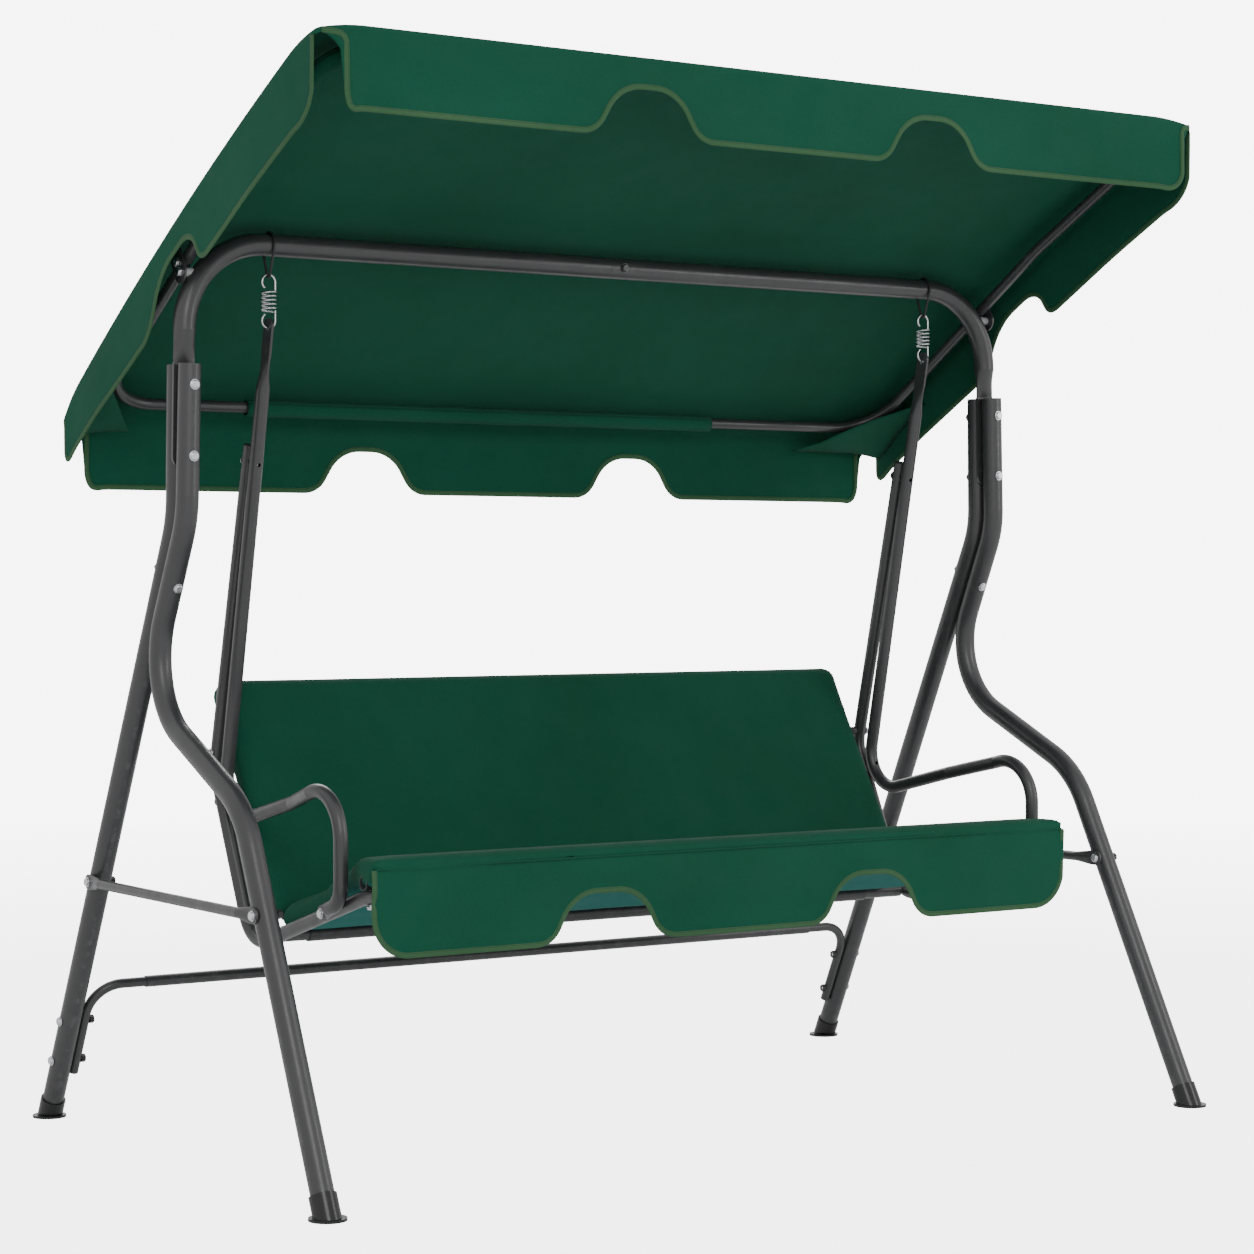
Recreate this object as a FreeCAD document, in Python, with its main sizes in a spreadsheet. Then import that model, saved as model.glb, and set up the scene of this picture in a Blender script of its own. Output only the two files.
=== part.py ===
"""Garden canopy swing seat: bent-tube stand, tilting canopy and a bench hung on two springs.

Frame: +X to the sitter's left, -Y to the front, +Z up, millimetres, origin on the floor under
the middle of the whole object. Every size is a cell of the Sizes sheet, and every sub-part is an
object of the document bound to those cells.
"""
import FreeCAD, Part
import math
import os
import re

import Sketcher
from FreeCAD import Placement, Rotation, Vector

SIZES = {
    # stand, half widths measured from the middle plane
    "front_foot_half_width": 823, "rear_foot_half_width": 807, "leg_top_half_width": 796,
    "foot_half_depth": 491, "leg_top_height": 1212, "beam_height": 1401, "beam_offset": 7,
    "tube_outer": 35, "tube_wall": 1.5, "knee_height": 708, "shin_depth": 216,
    "shin_height": 552, "rear_bend_height": 978, "lean_bend_radius": 150, "knee_radius": 133,
    "shin_radius": 170, "leg_end_height": 15,
    # top beam and its pressed ends
    "beam_bend_radius": 135, "beam_joint": 26, "press_height": 1264, "press_taper": 50,
    "press_length": 160, "press_width": 36, "press_thickness": 5, "sleeve_half_length": 60,
    "slip_gap": 0.2, "part_gap": 0.3,
    # feet
    "foot_wall": 2.6, "foot_length": 36, "flange_diameter": 55, "flange_thickness": 4,
    # bolts
    "bolt_diameter": 6, "hole_gap": 0.3, "bolt_head": 13, "bolt_head_height": 3.6,
    "head_round": 1.8, "washer_thickness": 1.2, "washer_diameter": 16, "nut_width": 14,
    "nut_height": 7, "thread_gap": 0.05, "upper_bolt_height": 1180, "middle_bolt_height": 1072,
    "lower_bolt_height": 880,
    # side braces
    "brace_height": 404, "brace_outer": 16, "brace_wall": 1.2, "brace_press_width": 24,
    "brace_press_thickness": 3, "brace_press_length": 26, "brace_taper": 34,
    # rear crossbar
    "crossbar_height": 226, "corner_outer": 16, "corner_wall": 1.2, "corner_radius": 54,
    "corner_low_end": 77, "crossbar_outer": 19, "crossbar_wall": 1.3,
    "crossbar_half_length": 684, "socket_depth": 42, "high_crossbar_bolt": 168,
    "low_crossbar_bolt": 100,
    # canopy cloth
    "canopy_tilt": 30.8, "canopy_half_width": 832, "canopy_front": 570, "canopy_rear": 418,
    "canopy_lift": 18.7, "canopy_edge_rise": 20, "canopy_crown": 36, "ridge_half_width": 676,
    "cloth_thickness": 3, "canopy_drop": 121, "corner_slit": 6, "scallop_offset": 273,
    "scallop_half_width": 104, "scallop_top_half_width": 38, "scallop_height": 72,
    "scallop_radius": 46, "hem_radius": 34, "side_scallop": 88, "side_scallop_low_width": 96,
    # canopy frame
    "pivot_height": 1352, "rail_outer": 19, "rail_wall": 1.2, "rail_half_width": 790,
    "rail_front_inset": 24, "rail_rear_inset": 52, "rail_end_lift": 6, "rail_joint_lift": 23,
    "rail_joint": 185, "rail_corner_radius": 90, "pin_half_length": 18, "pin_gap": 0.9,
    # canopy bracket
    "lug_diameter": 14, "bracket_thickness": 3, "bracket_width": 36, "bracket_top": 33,
    "pivot_bolt": 8, "pivot_gap": 0.35,
    # loops over the beam and springs
    "hanger_half_width": 652, "loop_wire": 4, "loop_low_radius": 5, "loop_bottom": 1352,
    "spring_wire": 3.2, "hook_wire": 3.08, "coil_radius": 11.3, "coil_turns": 5, "coil_pitch": 6.2,
    "hook_gap": 0.4, "hook_neck": 3, "hook_sweep": 235,
    # hanger with armrest
    "seat_tube": 22, "seat_tube_wall": 1.2, "seat_press_thickness": 4, "hanger_press_width": 27,
    "hanger_plate": 60, "hanger_taper": 50, "hanger_top": 15, "hook_hole": 9,
    "elbow_depth": 169, "elbow_height": 492, "elbow_radius": 62, "arm_front": 260,
    "arm_height": 589, "arm_radius": 70, "arm_low_radius": 34, "arm_jog_start": 68,
    "arm_jog_end": 168, "arm_bolt_depth": 186, "arm_blade": 23, "arm_taper": 30,
    "arm_blade_width": 25,
    # seat side frame
    "post_top_depth": 69, "post_top_height": 1094, "post_bend_depth": 191,
    "post_bend_height": 585, "post_radius": 60, "rear_corner_depth": 65,
    "rear_corner_height": 312, "rear_corner_radius": 60, "rail_bend_depth": 285,
    "rail_rise": 105.6, "rail_end_depth": 331, "rail_end_rise": 6.5, "rail_radius": 110,
    "post_bolt_drop": 24, "cap_thickness": 2.5, "cap_round": 1.2, "front_tube_depth": 312,
    "front_bolt_drop": 1.9,
    "rear_tube": 26, "rear_tube_half": 558, "rear_tube_depth": 60, "stub_wall": 2,
    # backrest
    "back_slope": 30.8, "back_half_width": 633, "back_thickness": 40, "back_height": 424,
    "back_foot_depth": 18.5, "back_foot_height": 368, "back_frame_half": 606,
    "back_frame_tube": 19, "back_frame_wall": 1.2, "back_corner": 60, "back_bolt_reach": 293,
    "back_frame_radius": 45, "back_frame_top": 24, "spacer_diameter": 14,
    # seat
    "cushion_half_width": 632, "cushion_thickness": 36, "cushion_rear": 16,
    "cushion_lift": 13, "cushion_corner": 12, "roll_half_width": 670, "roll_depth": 66,
    "roll_top": 480, "roll_lift": 4, "roll_corner": 18, "stub_rise": 16, "seat_front": 343, "valance_thickness": 2.4,
    "valance_top": 464, "seat_valance_drop": 130, "seat_scallop_offset": 257,
    "seat_scallop_low_width": 108, "seat_scallop_top_width": 50, "seat_scallop_height": 76,
    "seat_hem_radius": 62, "seat_scallop_radius": 40,
}

doc = FreeCAD.newDocument("canopy_swing")
sheet = doc.addObject("Spreadsheet::Sheet", "Sizes")
for row, (name, value) in enumerate(SIZES.items(), start=1):
    sheet.set(f"A{row}", name)
    sheet.set(f"B{row}", str(value))
    sheet.setAlias(f"B{row}", name)
doc.recompute()

WORD = re.compile(r"[a-z_]{4,}")


def bound(text):
    """The expression as the document reads it, every size name pointing at its sheet cell."""
    return WORD.sub(lambda m: "Sizes." + m[0] if m[0] in SIZES else m[0], str(text))


def value(text):
    """The number that an expression gives now."""
    return float(sheet.evalExpression(bound(text)))


def bind(item, prop, text):
    item.setExpression(prop, bound(text))


# ---------------------------------------------------------------- sketches

def plane_of(body, role):
    return next(f for f in body.Origin.OriginFeatures if f.Role == role)


def new_body(name):
    body = doc.addObject("PartDesign::Body", name)
    body.Label = name
    return body


def new_sketch(body, name, role, base=("0", "0", "0"), axis=(1, 0, 0), turn="0"):
    """A sketch on one of the body's own origin planes, moved and turned from it."""
    sketch = body.newObject("Sketcher::SketchObject", f"{body.Name}_{name}")
    sketch.AttachmentSupport = [(plane_of(body, role), "")]
    sketch.MapMode = "FlatFace"
    start = Vector(*(value(c) for c in base))
    sketch.AttachmentOffset = Placement(start, Rotation(Vector(*axis), value(turn)))
    for letter, text in zip("xyz", base):
        bind(sketch, f"AttachmentOffset.Base.{letter}", text)
    bind(sketch, "AttachmentOffset.Rotation.Angle", turn)
    return sketch


def constrain(sketch, kind, *parts, to=None):
    index = sketch.addConstraint(Sketcher.Constraint(kind, *parts))
    if to is not None:
        sketch.setExpression(f"Constraints[{index}]", bound(to))
    return index


def fix_point(sketch, geometry, point, across, up):
    """Places a sketch point by its two signed distances from the origin."""
    for kind, text in (("DistanceX", across), ("DistanceY", up)):
        number = value(text)
        constrain(sketch, kind, -1, 1, geometry, point, number, to=text)


def add_circle(sketch, across, up, radius):
    centre = Vector(value(across), value(up), 0)
    index = sketch.addGeometry(Part.Circle(centre, Vector(0, 0, 1), value(radius)))
    fix_point(sketch, index, 3, across, up)
    constrain(sketch, "Radius", index, value(radius), to=radius)
    return index


def rounded_run(sketch, corners, closed=False):
    """Straight runs; corners are (across, up, radius) expressions, radius "0" for a sharp one."""
    points = [Vector(value(c[0]), value(c[1]), 0) for c in corners]
    count = len(corners)
    inner = range(count) if closed else range(1, count - 1)
    ends = {}
    for i in inner:
        radius = value(corners[i][2])
        if not radius:
            continue
        before = (points[i - 1] - points[i]).normalize()
        after = (points[(i + 1) % count] - points[i]).normalize()
        half = before.getAngle(after) / 2
        reach = radius / math.tan(half)
        middle = (before + after).normalize()
        apex = points[i] + middle * (radius / math.sin(half) - radius)
        ends[i] = (points[i] + before * reach, apex, points[i] + after * reach)
    runs = []
    for i in range(count if closed else count - 1):
        j = (i + 1) % count
        first = ends[i][2] if i in ends else points[i]
        second = ends[j][0] if j in ends else points[j]
        runs.append(sketch.addGeometry(Part.LineSegment(first, second)))
    for i in inner:
        after = runs[i % len(runs)]
        if i in ends:
            add_bend(sketch, runs[i - 1], after, points[i], ends[i], corners[i])
        else:
            constrain(sketch, "Coincident", runs[i - 1], 2, after, 1)
            fix_point(sketch, after, 1, corners[i][0], corners[i][1])
    if not closed:
        fix_point(sketch, runs[0], 1, corners[0][0], corners[0][1])
        fix_point(sketch, runs[-1], 2, corners[-1][0], corners[-1][1])


def add_bend(sketch, run_in, run_out, point, ends, corner):
    """A tangent arc between two runs, with the sharp corner kept as a construction point."""
    curve = Part.Arc(*ends).toShape().Curve
    turned = (ends[1] - ends[0]).cross(ends[2] - ends[1]).z > 0
    circle = Part.Circle(curve.Center, Vector(0, 0, 1), curve.Radius)
    first, last = (ends[0], ends[2]) if turned else (ends[2], ends[0])
    bend = sketch.addGeometry(
        Part.ArcOfCircle(circle, circle.parameter(first), circle.parameter(last)))
    into, out = (1, 2) if turned else (2, 1)
    constrain(sketch, "Tangent", run_in, 2, bend, into)
    constrain(sketch, "Tangent", bend, out, run_out, 1)
    constrain(sketch, "Radius", bend, value(corner[2]), to=corner[2])
    sharp = sketch.addGeometry(Part.Point(point), True)
    fix_point(sketch, sharp, 1, corner[0], corner[1])
    constrain(sketch, "PointOnObject", sharp, 1, run_in)
    constrain(sketch, "PointOnObject", sharp, 1, run_out)


# ---------------------------------------------------------------- tubes

def edge_sketch(body, name, path, at_end, out="0", across=None):
    """A sketch square to one end of a path, moved outwards by `out`, its y in the path plane."""
    sketch = body.newObject("Sketcher::SketchObject", f"{body.Name}_{name}")
    last = len(path.Shape.Edges)
    sketch.AttachmentSupport = [(path, f"Edge{last if at_end else 1}")]
    sketch.MapMode = "NormalToEdge"
    sketch.MapPathParameter = 1.0 if at_end else 0.0
    doc.recompute()
    sideways = sketch.Placement.Rotation.multVec(Vector(1, 0, 0))
    sign = "-" if at_end else ""
    bind(sketch, "AttachmentOffset.Base.z", f"{sign}({out})")
    if across:
        flip = "" if sideways.x + sideways.y + sideways.z > 0 else "-"
        bind(sketch, "AttachmentOffset.Base.x", f"{flip}({across})")
    return sketch


def tube(name, role, corners, outer, wall):
    """A bent tube in one origin plane of its own body."""
    body = new_body(name)
    path = new_sketch(body, "path", role)
    rounded_run(path, corners)
    doc.recompute()
    ring = edge_sketch(body, "ring", path, at_end=False)
    add_circle(ring, "0", "0", f"({outer}) / 2")
    add_circle(ring, "0", "0", f"({outer}) / 2 - ({wall})")
    sweep = body.newObject("PartDesign::AdditivePipe", f"{name}_sweep")
    sweep.Profile = ring
    sweep.Spine = (path, [f"Edge{i + 1}" for i in range(len(path.Shape.Edges))])
    body.Tip = sweep
    doc.recompute()
    return body, path


def pressed_end(body, path, role, at_end, outer, taper, length, width, thickness, shift="0",
                path_shift="0"):
    """Flattens a tube's end: a taper, then a flat blade with a round tip, `shift` off its plane."""
    tag = "end" if at_end else "start"
    round_face = edge_sketch(body, f"{tag}_round", path, at_end)
    add_circle(round_face, "0", "0", f"({outer}) / 2")
    flat = edge_sketch(body, f"{tag}_flat", path, at_end, out=taper,
                       across=f"({shift} - ({path_shift}))")
    box(flat, f"({thickness}) / 2", f"({width}) / 2", f"({thickness}) * 0.48")
    taper_loft = body.newObject("PartDesign::AdditiveLoft", f"{body.Name}_{tag}_taper")
    taper_loft.Profile = round_face
    taper_loft.Sections = [flat]
    edge = path.Shape.Edges[-1 if at_end else 0]
    tip = edge.valueAt(edge.LastParameter if at_end else edge.FirstParameter)
    way = edge.tangentAt(edge.LastParameter if at_end else edge.FirstParameter)
    if not at_end:
        way = way * -1
    tip = tip + way * value(taper)
    plane = {"YZ_Plane": lambda v: (v.y, v.z), "XZ_Plane": lambda v: (v.x, v.z)}[role]
    across, up = plane(tip)
    turn = math.degrees(math.atan2(*reversed(plane(way))))
    blade = new_sketch(body, f"{tag}_blade", role, (str(across), str(up), shift), (0, 0, 1),
                       str(turn))
    half = f"({width}) / 2"
    tip_round = f"({width}) * 0.48"
    rounded_run(blade, [("0", f"-{half}", "0"), (length, f"-{half}", tip_round),
                        (length, half, tip_round), ("0", half, "0")], closed=True)
    pad(body, f"{tag}_pad", blade, thickness)


def box(sketch, half_across, half_up, radius):
    rounded_run(sketch, [(f"-({half_across})", f"-({half_up})", radius),
                         (half_across, f"-({half_up})", radius), (half_across, half_up, radius),
                         (f"-({half_across})", half_up, radius)], closed=True)


def pad(body, name, sketch, length, both=True):
    item = body.newObject("PartDesign::Pad", f"{body.Name}_{name}")
    item.Profile = sketch
    item.Midplane = both
    bind(item, "Length", length)
    body.Tip = item
    doc.recompute()
    return item


def drill(body, name, sketch):
    """Cuts the sketch right through the body both ways."""
    item = body.newObject("PartDesign::Pocket", f"{body.Name}_{name}")
    item.Profile = sketch
    item.Type = "ThroughAll"
    item.Midplane = True
    body.Tip = item
    doc.recompute()
    return item


def hole(body, name, role, across, up, diameter, axis=(1, 0, 0), turn="0", depth="0"):
    sketch = new_sketch(body, name, role, (across, up, depth), axis, turn)
    add_circle(sketch, "0", "0", f"({diameter}) / 2")
    drill(body, f"{name}_cut", sketch)


# ---------------------------------------------------------------- fasteners

def cylinder(name, radius, height, place=None):
    item = doc.addObject("Part::Cylinder", name)
    bind(item, "Radius", radius)
    bind(item, "Height", height)
    item.Placement = place or Placement()
    return item


def along(origin, direction):
    return Placement(Vector(*origin), Rotation(Vector(0, 0, 1), Vector(*direction)))


def lifted(height):
    return Placement(Vector(0, 0, height), Rotation())


def fused(name, shapes, place):
    item = doc.addObject("Part::MultiFuse", name)
    item.Shapes = shapes
    item.Placement = place
    return item


def screw(name, place, grip, size="bolt_diameter", reach="nut_height - 1"):
    """A round-headed screw with its washer; the head bears at the placement's origin."""
    top = value("washer_thickness + bolt_head_height")
    head = cylinder(f"{name}_head", "bolt_head / 2", "bolt_head_height", lifted(-top))
    dome = doc.addObject("Part::Fillet", f"{name}_dome")
    dome.Base = head
    doc.recompute()
    low = min(range(len(head.Shape.Edges)), key=lambda i: head.Shape.Edges[i].CenterOfMass.z)
    dome.Edges = [(low + 1, value("head_round"), value("head_round"))]
    washer = cylinder(f"{name}_washer", "washer_diameter / 2", "washer_thickness",
                      lifted(-value("washer_thickness")))
    shank = cylinder(f"{name}_shank", f"{size} / 2", f"{grip} + {reach} + 1", lifted(-1))
    return fused(name, [dome, washer, shank], place)


def nut(name, place, grip, size="bolt_diameter"):
    """A hexagon nut at the far face of the grip."""
    prism = doc.addObject("Part::Prism", f"{name}_hexagon")
    prism.Polygon = 6
    bind(prism, "Circumradius", "nut_width / 2")
    bind(prism, "Height", "nut_height")
    prism.Placement = lifted(value(grip))
    bore = cylinder(f"{name}_bore", f"{size} / 2 + thread_gap", "nut_height + 2",
                    lifted(value(grip) - 1))
    item = doc.addObject("Part::Cut", name)
    item.Base = prism
    item.Tool = bore
    item.Placement = place
    return item


def group(name, items):
    """Identical fasteners kept as one sub-part of separate solids."""
    item = doc.addObject("Part::Compound", name)
    item.Label = name
    item.Links = items
    OUTPUT.append(item)


OUTPUT = []
SIDES = (("left", 1), ("right", -1))
OPEN_HOLE = "bolt_diameter + 2 * hole_gap"

# ---------------------------------------------------------------- stand

LEG_OFFSET = "(tube_outer / 2 + press_thickness / 2)"
LEAN = f"((foot_half_depth - beam_offset - {LEG_OFFSET}) / rear_bend_height)"
LEAN_ANGLE = f"atan({LEAN})"
SHIN_SLOPE = "((foot_half_depth - shin_depth) / shin_height)"
FRONT_FALL = "((front_foot_half_width - leg_top_half_width) / leg_top_height)"
REAR_FALL = "((rear_foot_half_width - leg_top_half_width) / leg_top_height)"
BEAM_FALL = f"(({FRONT_FALL} + {REAR_FALL}) / 2)"


def beam_x(height):
    return f"(leg_top_half_width + {BEAM_FALL} * (leg_top_height - ({height})))"


def front_x(height):
    return f"(front_foot_half_width - {FRONT_FALL} * ({height}))"


def rear_x(height):
    return f"(rear_foot_half_width - {REAR_FALL} * ({height}))"


def rear_lean_y(height):
    return f"(foot_half_depth - {LEAN} * ({height}))"


def front_lean_y(height):
    return f"({rear_lean_y(height)} - 2 * {LEG_OFFSET})"


def shin_y(height):
    return f"(-foot_half_depth + {SHIN_SLOPE} * ({height}))"


REAR_LEG = [("beam_offset + " + LEG_OFFSET, "leg_top_height", "0"),
            ("beam_offset + " + LEG_OFFSET, "rear_bend_height", "lean_bend_radius"),
            (rear_lean_y("leg_end_height"), "leg_end_height", "0")]
FRONT_LEG = [("beam_offset - " + LEG_OFFSET, "leg_top_height", "0"),
             ("beam_offset - " + LEG_OFFSET, "rear_bend_height", "lean_bend_radius"),
             (front_lean_y("knee_height"), "knee_height", "knee_radius"),
             ("-shin_depth", "shin_height", "shin_radius"),
             (shin_y("leg_end_height"), "leg_end_height", "0")]

for side, sign in SIDES:
    # half of the top beam, pressed flat where it goes between the legs
    start = "-beam_joint" if sign > 0 else "beam_joint + part_gap"
    body, path = tube(f"top_beam_{side}", "XZ_Plane",
                      [(start, "beam_height", "0"),
                       (beam_x("beam_height"), "beam_height", "beam_bend_radius"),
                       (beam_x("press_height"), "press_height", "0")], "tube_outer", "tube_wall")
    pressed_end(body, path, "XZ_Plane", True, "tube_outer", "press_taper", "press_length",
                "press_width", "press_thickness")
    for word in ("upper", "middle"):
        up = f"{word}_bolt_height"
        hole(body, f"{word}_hole", "XZ_Plane", beam_x(up), up, OPEN_HOLE)
    if sign > 0:
        hole(body, "joint_hole", "XZ_Plane", "0", "beam_height", OPEN_HOLE)
    body.Placement = Placement(Vector(0, 0, 0), Rotation(Vector(0, 0, 1), 0 if sign > 0 else 180))
    bind(body, "Placement.Base.y", "beam_offset")
    OUTPUT.append(body)

    for leg, corners, foot_x, line_x in (("front_leg", FRONT_LEG, "front_foot_half_width", front_x),
                                         ("rear_leg", REAR_LEG, "rear_foot_half_width", rear_x)):
        body, path = tube(f"{leg}_{side}", "YZ_Plane", corners, "tube_outer", "tube_wall")
        for word in ("upper", "middle"):
            up = f"{word}_bolt_height"
            across = f"{sign} * ({beam_x(up)} - {line_x(up)})"
            hole(body, f"{word}_hole", "XZ_Plane", across, up, OPEN_HOLE)
        up = "lower_bolt_height"
        across = f"{sign} * ({beam_x(up)} - {line_x(up)})"
        hole(body, "lower_hole", "XZ_Plane", across, up, OPEN_HOLE, (1, 0, 0), LEAN_ANGLE,
             f"-({front_lean_y(up)})")
        at = shin_y if leg == "front_leg" else rear_lean_y
        hole(body, "brace_hole", "YZ_Plane", at("brace_height"), "brace_height", OPEN_HOLE)
        if leg == "rear_leg":
            for word in ("high", "low"):
                up = f"{word}_crossbar_bolt"
                hole(body, f"{word}_hole", "YZ_Plane", rear_lean_y(up), up, OPEN_HOLE)
        tilt = f"{-sign} * atan(({foot_x} - leg_top_half_width) / leg_top_height)"
        body.Placement = Placement(Vector(0, 0, 0), Rotation(Vector(0, 1, 0), value(tilt)))
        bind(body, "Placement.Base.x", f"{sign} * {foot_x}")
        bind(body, "Placement.Rotation.Angle", tilt)
        OUTPUT.append(body)

sleeve, path = tube("beam_sleeve", "XZ_Plane",
                    [("-sleeve_half_length", "beam_height", "0"),
                     ("sleeve_half_length", "beam_height", "0")],
                    "tube_outer - 2 * tube_wall - 2 * slip_gap", "tube_wall")
hole(sleeve, "joint_hole", "XZ_Plane", "0", "beam_height", OPEN_HOLE)
bind(sleeve, "Placement.Base.y", "beam_offset")
OUTPUT.append(sleeve)


def foot_cap(name, sign, foot_x, front):
    """A boot with a round floor flange, its socket leaning with the leg."""
    slope = SHIN_SLOPE if front else LEAN
    lean = value(f"atan({slope})") * (1 if front else -1)
    outer = "tube_outer / 2 + slip_gap + foot_wall"
    tilt = value(f"{-sign} * atan(({foot_x} - leg_top_half_width) / leg_top_height)")
    turn = Rotation(Vector(0, 1, 0), tilt).multiply(Rotation(Vector(1, 0, 0), -lean))
    leaning = Placement(Vector(0, 0, 0), turn)
    sleeve_solid = cylinder(f"{name}_sleeve", outer, "foot_length + 40",
                            leaning.multiply(lifted(-40)))
    socket = cylinder(f"{name}_socket", "tube_outer / 2 + slip_gap", "foot_length + 40",
                      leaning.multiply(lifted(value(f"leg_end_height / cos(atan({slope}))")
                                              - value("part_gap"))))
    flange = cylinder(f"{name}_flange", "flange_diameter / 2", "flange_thickness")
    ground = doc.addObject("Part::Box", f"{name}_ground")
    for prop in ("Length", "Width", "Height"):
        bind(ground, prop, "flange_diameter * 3")
    size = value("flange_diameter * 3")
    ground.Placement = Placement(Vector(-size / 2, -size / 2, -size), Rotation())
    above = doc.addObject("Part::Cut", f"{name}_above")
    above.Base = fused(f"{name}_outer", [sleeve_solid, flange], Placement())
    above.Tool = ground
    item = doc.addObject("Part::Cut", name)
    item.Base = above
    item.Tool = socket
    item.Placement = Placement(Vector(sign * value(foot_x),
                                      value("foot_half_depth") * (-1 if front else 1), 0), Rotation())
    OUTPUT.append(item)


for side, sign in SIDES:
    foot_cap(f"front_foot_{side}", sign, "front_foot_half_width", True)
    foot_cap(f"rear_foot_{side}", sign, "rear_foot_half_width", False)

# side braces between the front and rear leg, both on the same face of their legs
BRACE_GAP = "(tube_outer / 2 + brace_press_thickness / 2)"
for side, sign in SIDES:
    z = "brace_height"
    front_at = (f"({sign} * {front_x(z)} - {BRACE_GAP})", shin_y(z))
    rear_at = (f"({sign} * {rear_x(z)} - {BRACE_GAP})", rear_lean_y(z))
    span = (f"sqrt(({rear_at[0]} - {front_at[0]}) ^ 2 + ({rear_at[1]} - {front_at[1]}) ^ 2)")
    inset = "brace_press_length + brace_taper - brace_press_width / 2"
    body, path = tube(f"side_brace_{side}", "YZ_Plane",
                      [(inset, "0", "0"), (f"{span} - ({inset})", "0", "0")],
                      "brace_outer", "brace_wall")
    for at_end in (False, True):
        pressed_end(body, path, "YZ_Plane", at_end, "brace_outer", "brace_taper",
                    "brace_press_length", "brace_press_width", "brace_press_thickness")
    hole(body, "front_hole", "YZ_Plane", "0", "0", OPEN_HOLE)
    hole(body, "rear_hole", "YZ_Plane", span, "0", OPEN_HOLE)
    turn = f"-atan(({rear_at[0]} - {front_at[0]}) / ({rear_at[1]} - {front_at[1]}))"
    body.Placement = Placement(Vector(0, 0, 0), Rotation(Vector(0, 0, 1), value(turn)))
    bind(body, "Placement.Base.x", front_at[0])
    bind(body, "Placement.Base.y", front_at[1])
    bind(body, "Placement.Base.z", z)
    bind(body, "Placement.Rotation.Angle", turn)
    OUTPUT.append(body)

# rear crossbar: two bent corner tubes plugged into a wider middle tube
CORNER_GAP = "(tube_outer / 2 + corner_outer / 2)"


def on_lean(height):
    return f"(({height}) / cos({LEAN_ANGLE}))"


for side, sign in SIDES:
    def corner_x(height):
        return f"{sign} * ({rear_x(height)} - {CORNER_GAP})"

    body, path = tube(f"crossbar_corner_{side}", "XZ_Plane",
                      [(corner_x("corner_low_end"), on_lean("corner_low_end"), "0"),
                       (corner_x("crossbar_height"), on_lean("crossbar_height"), "corner_radius"),
                       (f"{sign} * (crossbar_half_length - socket_depth)",
                        on_lean("crossbar_height"), "0")], "corner_outer", "corner_wall")
    for word in ("high", "low"):
        hole(body, f"{word}_hole", "YZ_Plane", "0", on_lean(f"{word}_crossbar_bolt"), OPEN_HOLE)
    body.Placement = Placement(Vector(0, 0, 0), Rotation(Vector(1, 0, 0), value(LEAN_ANGLE)))
    bind(body, "Placement.Base.y", "foot_half_depth")
    bind(body, "Placement.Rotation.Angle", LEAN_ANGLE)
    OUTPUT.append(body)

body, path = tube("crossbar_middle", "XZ_Plane",
                  [("-crossbar_half_length", "0", "0"), ("crossbar_half_length", "0", "0")],
                  "crossbar_outer", "crossbar_wall")
bind(body, "Placement.Base.y", rear_lean_y("crossbar_height"))
bind(body, "Placement.Base.z", "crossbar_height")
OUTPUT.append(body)

# fasteners of the stand
bolts = []
nuts = []
for side, sign in SIDES:
    for word in ("upper", "middle"):
        up = f"{word}_bolt_height"
        origin = (sign * value(beam_x(up)), value(f"beam_offset - {LEG_OFFSET} - tube_outer / 2"),
                  value(up))
        place = along(origin, (0, 1, 0))
        grip = f"2 * {LEG_OFFSET} + tube_outer"
        bolts.append(screw(f"leg_bolt_{word}_{side}", place, grip))
        nuts.append(nut(f"leg_nut_{word}_{side}", place, grip))
    up = "lower_bolt_height"
    lean = math.radians(value(LEAN_ANGLE))
    way = Vector(0, math.cos(lean), math.sin(lean))
    origin = Vector(sign * value(beam_x(up)), value(front_lean_y(up)), value(up))
    place = along(origin - way * value("tube_outer / 2"), way)
    grip = f"2 * {LEG_OFFSET} * cos({LEAN_ANGLE}) + tube_outer"
    bolts.append(screw(f"leg_bolt_lower_{side}", place, grip))
    nuts.append(nut(f"leg_nut_lower_{side}", place, grip))
group("leg_bolts", bolts)
group("leg_nuts", nuts)

bolts = []
nuts = []
for side, sign in SIDES:
    z = "brace_height"
    for end, line_x, line_y in (("front", front_x, shin_y), ("rear", rear_x, rear_lean_y)):
        x = f"{sign} * {line_x(z)} - tube_outer / 2 - brace_press_thickness - part_gap"
        place = along((value(x), value(line_y(z)), value(z)), (1, 0, 0))
        grip = "tube_outer + brace_press_thickness + 2 * part_gap"
        bolts.append(screw(f"brace_bolt_{end}_{side}", place, grip))
        nuts.append(nut(f"brace_nut_{end}_{side}", place, grip))
group("brace_bolts", bolts)
group("brace_nuts", nuts)

bolts = []
nuts = []
for side, sign in SIDES:
    for word in ("high", "low"):
        up = f"{word}_crossbar_bolt"
        x = f"{sign} * ({rear_x(up)} + tube_outer / 2)"
        place = along((value(x), value(rear_lean_y(up)), value(up)), (-sign, 0, 0))
        grip = "tube_outer + corner_outer"
        bolts.append(screw(f"crossbar_bolt_{word}_{side}", place, grip))
        nuts.append(nut(f"crossbar_nut_{word}_{side}", place, grip))
group("crossbar_bolts", bolts)
group("crossbar_nuts", nuts)

joint = along((0, value("beam_offset - tube_outer / 2"), value("beam_height")), (0, 1, 0))
item = screw("beam_joint_bolt", joint, "tube_outer", reach="-tube_wall")
OUTPUT.append(item)

# ---------------------------------------------------------------- canopy

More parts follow.
